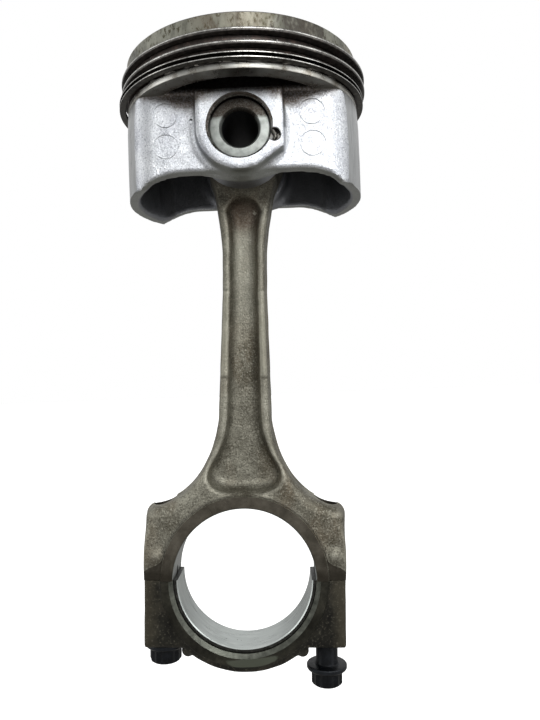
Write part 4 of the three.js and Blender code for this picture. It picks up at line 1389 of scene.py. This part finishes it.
def build_shell():
    """Lower bearing shell, with eased edges and flat ends."""
    outer = HOUSING_RADIUS - 0.04
    inner = outer - SHELL_WALL
    section = sleeve_section(inner, outer, SHELL_HALF_WIDTH, (0.35, 0.35), (0.15, 0.15))
    verts, faces = swept_ring(section, -179.93, -0.07, 160)
    shape = [(x, h, z) for x, z, h in verts], faces
    finishes = MATERIALS["shell_steel"], MATERIALS["bearing_metal"]
    piece = as_object("bearing_shell_lower", shape, *finishes)

    def rule(middle, normal, index):
        radius = np.hypot(middle[0], middle[2])
        inward = -(normal[0] * middle[0] + normal[2] * middle[2]) / radius
        return np.where((inward > 0.6) & (radius < inner + 0.2), 1, 0)

    finish_faces(piece, rule)
    smooth(piece)
    piece.matrix_world = rod_place()
    mount(piece, "rod", "bearing_metal", "lower_bearing_shell")


# ---------------------------------------------------------------- bolts


def double_hex(angle, size):
    """Radius of a twelve-point outline at an angle, with its points slightly eased."""
    apothem = size * cos(pi / 6)
    best = 0
    for turn in (0, pi / 6):
        sector = (angle - turn) % (pi / 3) - pi / 6
        best = max(best, apothem / cos(sector))
    return min(best, size * 0.985)


def bolt_shape(thread_depth):
    """Flange bolt about Z: seat face at height zero, head below, thread above."""
    steps = 96
    rings = []

    def level(height, radius_at):
        ring = []
        for i in range(steps):
            angle = 2 * pi * i / steps
            radius = radius_at(angle)
            ring.append((radius * cos(angle), radius * sin(angle), height))
        rings.append(ring)

    def turned(*levels):
        for height, radius in levels:
            level(height, lambda angle, radius=radius: radius)

    turned((-6.5, 1.3), (-6.5, 2.6), (-7.1, 3.2))
    for height, cone in ((-7.28, 4.3), (-7.2, 4.9), (-6.85, 5.4), (-6.4, 5.75), (-6, 9), (-3.1, 9)):
        level(height, lambda angle, cone=cone: min(double_hex(angle, BOLT_HEAD), cone))
    level(-2.55, lambda angle: 0.5 * double_hex(angle, BOLT_HEAD) + 0.5 * 6.1)
    turned((-2.2, 6.4), (-1.75, 7.05), (-1.35, BOLT_FLANGE), (-0.35, BOLT_FLANGE), (-0.08, 7.15))
    turned((0, 6.8), (0, 4.6), (0.35, 4.15), (0.8, BOLT_RADIUS), (25.5, BOLT_RADIUS))
    pitch, start, end, runout = 1.25, 26.5, 47.4, 1.5
    count = int((end - start) / pitch * 8)
    for k in range(count + 1):
        height = start + (end - start) * k / count
        depth = thread_depth * min(1.0, (height - start) / runout)

        def thread(angle, height=height, depth=depth):
            phase = (height / pitch - angle / (2 * pi)) % 1
            return BOLT_RADIUS - depth * (1 - abs(2 * phase - 1))

        level(height, thread)
    turned((48.2, 3.1), (48.5, 2.6))
    return skin(rings)


def build_bolts(sizes):
    """Tight left bolt, and right bolt backed out of its thread."""
    shape = bolt_shape(sizes.thread_depth / MM)
    seat = CAP_SEAT - 0.05
    for name, body, node, x, drop, spin in (
        ("bolt_left_tight", "rod", "rod_bolt_left", -BOLT_X, 0, 4),
        ("bolt_right_loose", "loose_bolt", "rod_bolt_right", BOLT_X, LOOSE_BOLT_OUT, 11),
    ):
        piece = as_object(name, shape, MATERIALS["black_oxide"])
        smooth(piece, 28)
        spot = Matrix.Translation((x * MM, 0, (seat - drop) * MM))
        piece.matrix_world = rod_place() @ spot @ Matrix.Rotation(radians(spin), 4, "Z")
        mount(piece, body, "black_oxide", node)


# ---------------------------------------------------------------- stage


def area_light(name, place, aim, size, power):
    """Rectangular soft light turned towards its aim."""
    lamp = bpy.data.lights.new(name, "AREA")
    lamp.shape = "RECTANGLE"
    lamp.size, lamp.size_y = size
    lamp.energy = power
    holder = bpy.data.objects.new(name, lamp)
    bpy.context.scene.collection.objects.link(holder)
    holder.location = place
    holder.rotation_euler = (Vector(aim) - Vector(place)).to_track_quat("-Z", "Y").to_euler()


def build_stage(settings):
    """Pale floor, pale surroundings, soft lights and the camera."""
    scene = bpy.context.scene
    scene.view_settings.view_transform = "Standard"

    world = bpy.data.worlds.new("pale_room")
    scene.world = world
    world.use_nodes = True
    tree = world.node_tree
    backdrop = tree.nodes["Background"]
    backdrop.inputs["Color"].default_value = (1, 1, 1, 1)
    backdrop.inputs["Strength"].default_value = 1.0
    room = tree.nodes.new("ShaderNodeBackground")
    room.inputs["Strength"].default_value = settings.room_light
    coordinates = tree.nodes.new("ShaderNodeTexCoord")
    split = tree.nodes.new("ShaderNodeSeparateXYZ")
    tree.links.new(coordinates.outputs["Generated"], split.inputs[0])
    level = tree.nodes.new("ShaderNodeMapRange")
    level.inputs["From Min"].default_value = -1
    tree.links.new(split.outputs[2], level.inputs["Value"])
    ramp = tree.nodes.new("ShaderNodeValToRGB")
    tree.links.new(level.outputs[0], ramp.inputs[0])
    stops = ramp.color_ramp.elements
    stops[0].position = 0.25
    stops[0].color = (0.46, 0.45, 0.43, 1)
    stops[1].position = 0.72
    stops[1].color = (1, 1, 1, 1)
    middle = stops.new(0.5)
    middle.color = (0.42, 0.42, 0.42, 1)
    tree.links.new(ramp.outputs[0], room.inputs["Color"])
    seen = tree.nodes.new("ShaderNodeLightPath")
    choice = tree.nodes.new("ShaderNodeMixShader")
    tree.links.new(seen.outputs["Is Camera Ray"], choice.inputs[0])
    tree.links.new(room.outputs[0], choice.inputs[1])
    tree.links.new(backdrop.outputs[0], choice.inputs[2])
    tree.links.new(choice.outputs[0], tree.nodes["World Output"].inputs["Surface"])

    floor_mesh = bpy.data.meshes.new("floor")
    reach, height = 9.0, settings.floor_height
    corners = ((-reach, -reach), (reach, -reach), (reach, reach), (-reach, reach))
    floor_mesh.from_pydata([(x, y, height) for x, y in corners], [], [(0, 1, 2, 3)])
    floor = bpy.data.objects.new("floor", floor_mesh)
    scene.collection.objects.link(floor)
    paint = Finish("floor_paint", 0.0, 0.85)
    speckle = paint.noise(40, 4, 0.6)
    paint.colour(paint.ramp(speckle, (0.3, (0.90, 0.90, 0.89)), (0.7, (0.94, 0.94, 0.93))))
    paint.shader.inputs["Emission Color"].default_value = (1, 1, 1, 1)
    paint.shader.inputs["Emission Strength"].default_value = 0.6
    floor_mesh.materials.append(paint.material)
    floor.visible_glossy = False
    floor.visible_diffuse = False

    aim = (0, 0, -0.05)
    area_light("front_softbox", (0.24, -0.95, 0.36), aim, (0.55, 0.4), settings.front_light)
    area_light("right_softbox", (0.8, -0.45, 0.1), aim, (0.3, 0.9), settings.side_light)
    area_light("left_softbox", (-0.8, -0.2, 0.0), aim, (0.3, 0.9), 0.7 * settings.side_light)

    yaw, pitch, roll = radians(-0.9495), radians(2.0439), radians(2.1298)
    ahead = Vector((sin(yaw) * cos(pitch), cos(yaw) * cos(pitch), sin(pitch)))
    right = Vector((cos(yaw), -sin(yaw), 0))
    up = right.cross(ahead)
    turn = Matrix.Rotation(roll, 3, "Y")
    place = turn @ Vector((0.013592, -0.238347, -0.085168))
    axes = Matrix((turn @ right, turn @ up, turn @ -ahead)).transposed().to_4x4()
    camera_data = bpy.data.cameras.new("camera")
    camera_data.lens = 31.9
    camera_data.sensor_width = 36
    camera_data.clip_start = 0.01
    camera_data.clip_end = 100
    camera = bpy.data.objects.new("camera", camera_data)
    scene.collection.objects.link(camera)
    camera.matrix_world = Matrix.Translation(place) @ axes
    scene.camera = camera


# ---------------------------------------------------------------- add-on


class PistonFinishes(bpy.types.PropertyGroup):
    """Colours that a user would change."""

    casting: FloatVectorProperty(
        name="Casting",
        description="Colour of the bare cast aluminium",
        subtype="COLOR",
        size=3,
        min=0,
        max=1,
        default=shade(0xD0D3D6),
    )
    forging: FloatVectorProperty(
        name="Forging",
        description="Colour of the forged rod's skin",
        subtype="COLOR",
        size=3,
        min=0,
        max=1,
        default=shade(0x5A564A),
    )
    bolt: FloatVectorProperty(
        name="Bolt",
        description="Colour of the black bolts",
        subtype="COLOR",
        size=3,
        min=0,
        max=1,
        default=shade(0x0C0E11),
    )


class PistonSizes(bpy.types.PropertyGroup):
    """Sizes that a user would change."""

    casting_detail: FloatProperty(
        name="Casting detail",
        description="Spacing of the grid that the cast piston is grown on",
        unit="LENGTH",
        min=0.0003,
        default=0.00068,
    )
    rod_detail: FloatProperty(
        name="Rod detail",
        description="Spacing of the grid that the forged rod is grown on",
        unit="LENGTH",
        min=0.0003,
        default=0.00052,
    )
    cap_detail: FloatProperty(
        name="Cap detail",
        description="Spacing of the grid that the forged cap is grown on",
        unit="LENGTH",
        min=0.0003,
        default=0.00045,
    )
    ring_gap: FloatProperty(
        name="Ring gap",
        description="Free gap of the split rings and rails",
        unit="LENGTH",
        min=0.001,
        default=0.009,
    )
    clip_wire: FloatProperty(
        name="Clip wire",
        description="Thickness of the wire that the pin's clips are bent from",
        unit="LENGTH",
        min=0.0005,
        default=0.0014,
    )
    thread_depth: FloatProperty(
        name="Thread depth",
        description="Depth of the thread on the rod bolts",
        unit="LENGTH",
        min=0.0001,
        default=0.00072,
    )


class PistonStage(bpy.types.PropertyGroup):
    """Floor and light settings."""

    floor_height: FloatProperty(
        name="Floor height",
        description="Height of the floor",
        unit="LENGTH",
        default=-0.262,
    )
    room_light: FloatProperty(
        name="Room light",
        description="Strength of the pale surroundings",
        min=0,
        default=0.8,
    )
    front_light: FloatProperty(
        name="Front light",
        description="Power of the large front light, in watts",
        min=0,
        default=5.0,
    )
    side_light: FloatProperty(
        name="Side light",
        description="Power of the tall side lights, in watts",
        min=0,
        default=2.0,
    )


class PISTON_OT_finishes(bpy.types.Operator):
    """Make all metal finishes"""

    bl_idname = "piston.finishes"
    bl_label = "Finishes"

    def execute(self, context):
        chosen = context.scene.piston_finishes
        cast_aluminium(tuple(chosen.casting))
        forged_steel(tuple(chosen.forging))
        black_oxide(tuple(chosen.bolt))
        casting = turned_skirt, crown_land, dark_land, bright_turned, crown_carbon, bored_aluminium
        rings = ring_iron, ring_face, rail_steel
        pin = ground_steel, pin_hole_black, spring_steel, bronze
        rod = machined_steel, cap_steel, cap_face, bright_chamfer, bearing_metal, shell_steel
        for make in casting + rings + pin + rod:
            make()
        return {"FINISHED"}


class PISTON_OT_casting(bpy.types.Operator):
    """Cast and machine the piston"""

    bl_idname = "piston.casting"
    bl_label = "Piston"

    def execute(self, context):
        build_piston(context.scene.piston_sizes)
        return {"FINISHED"}


class PISTON_OT_rings(bpy.types.Operator):
    """Lay the compression rings, the oil rails and the expander in their grooves"""

    bl_idname = "piston.rings"
    bl_label = "Rings"

    def execute(self, context):
        build_rings(context.scene.piston_sizes)
        build_expander()
        return {"FINISHED"}


class PISTON_OT_wrist_pin(bpy.types.Operator):
    """Fit the wrist pin, its two clips and the small-end bush"""

    bl_idname = "piston.wrist_pin"
    bl_label = "Wrist pin, clips and bush"

    def execute(self, context):
        build_pin()
        build_clips(context.scene.piston_sizes)
        build_bush()
        return {"FINISHED"}


class PISTON_OT_rod(bpy.types.Operator):
    """Forge and machine the connecting rod"""

    bl_idname = "piston.rod"
    bl_label = "Connecting rod"

    def execute(self, context):
        build_rod(context.scene.piston_sizes)
        return {"FINISHED"}


class PISTON_OT_cap(bpy.types.Operator):
    """Forge and machine the rod cap and lay the bearing shell in it"""

    bl_idname = "piston.cap"
    bl_label = "Rod cap and bearing shell"

    def execute(self, context):
        build_cap(context.scene.piston_sizes)
        build_shell()
        return {"FINISHED"}


class PISTON_OT_bolts(bpy.types.Operator):
    """Fit the two twelve-point rod bolts"""

    bl_idname = "piston.bolts"
    bl_label = "Rod bolts"

    def execute(self, context):
        build_bolts(context.scene.piston_sizes)
        return {"FINISHED"}


class PISTON_OT_stage(bpy.types.Operator):
    """Set up the floor, the lights and the camera"""

    bl_idname = "piston.stage"
    bl_label = "Stage"

    def execute(self, context):
        build_stage(context.scene.piston_stage)
        return {"FINISHED"}


OPERATORS = (
    PISTON_OT_finishes,
    PISTON_OT_casting,
    PISTON_OT_rings,
    PISTON_OT_wrist_pin,
    PISTON_OT_rod,
    PISTON_OT_cap,
    PISTON_OT_bolts,
    PISTON_OT_stage,
)


class PISTON_PT_panel(bpy.types.Panel):
    """Lists the piston's settings and steps"""

    bl_idname = "PISTON_PT_panel"
    bl_label = "Piston"
    bl_space_type = "VIEW_3D"
    bl_region_type = "UI"
    bl_category = "Piston"

    def draw(self, context):
        scene = context.scene
        for settings in (scene.piston_sizes, scene.piston_finishes, scene.piston_stage):
            for name in settings.__annotations__:
                self.layout.prop(settings, name)
        for operator in OPERATORS:
            self.layout.operator(operator.bl_idname)


CLASSES = (PistonSizes, PistonFinishes, PistonStage, *OPERATORS, PISTON_PT_panel)


def register():
    for item in CLASSES:
        bpy.utils.register_class(item)
    bpy.types.Scene.piston_sizes = PointerProperty(type=PistonSizes)
    bpy.types.Scene.piston_finishes = PointerProperty(type=PistonFinishes)
    bpy.types.Scene.piston_stage = PointerProperty(type=PistonStage)


def unregister():
    del bpy.types.Scene.piston_stage
    del bpy.types.Scene.piston_finishes
    del bpy.types.Scene.piston_sizes
    for item in reversed(CLASSES):
        bpy.utils.unregister_class(item)


def main():
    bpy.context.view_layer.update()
    register()
    for operator in OPERATORS:
        group, name = operator.bl_idname.split(".")
        getattr(getattr(bpy.ops, group), name)()


if __name__ == "__main__":
    main()
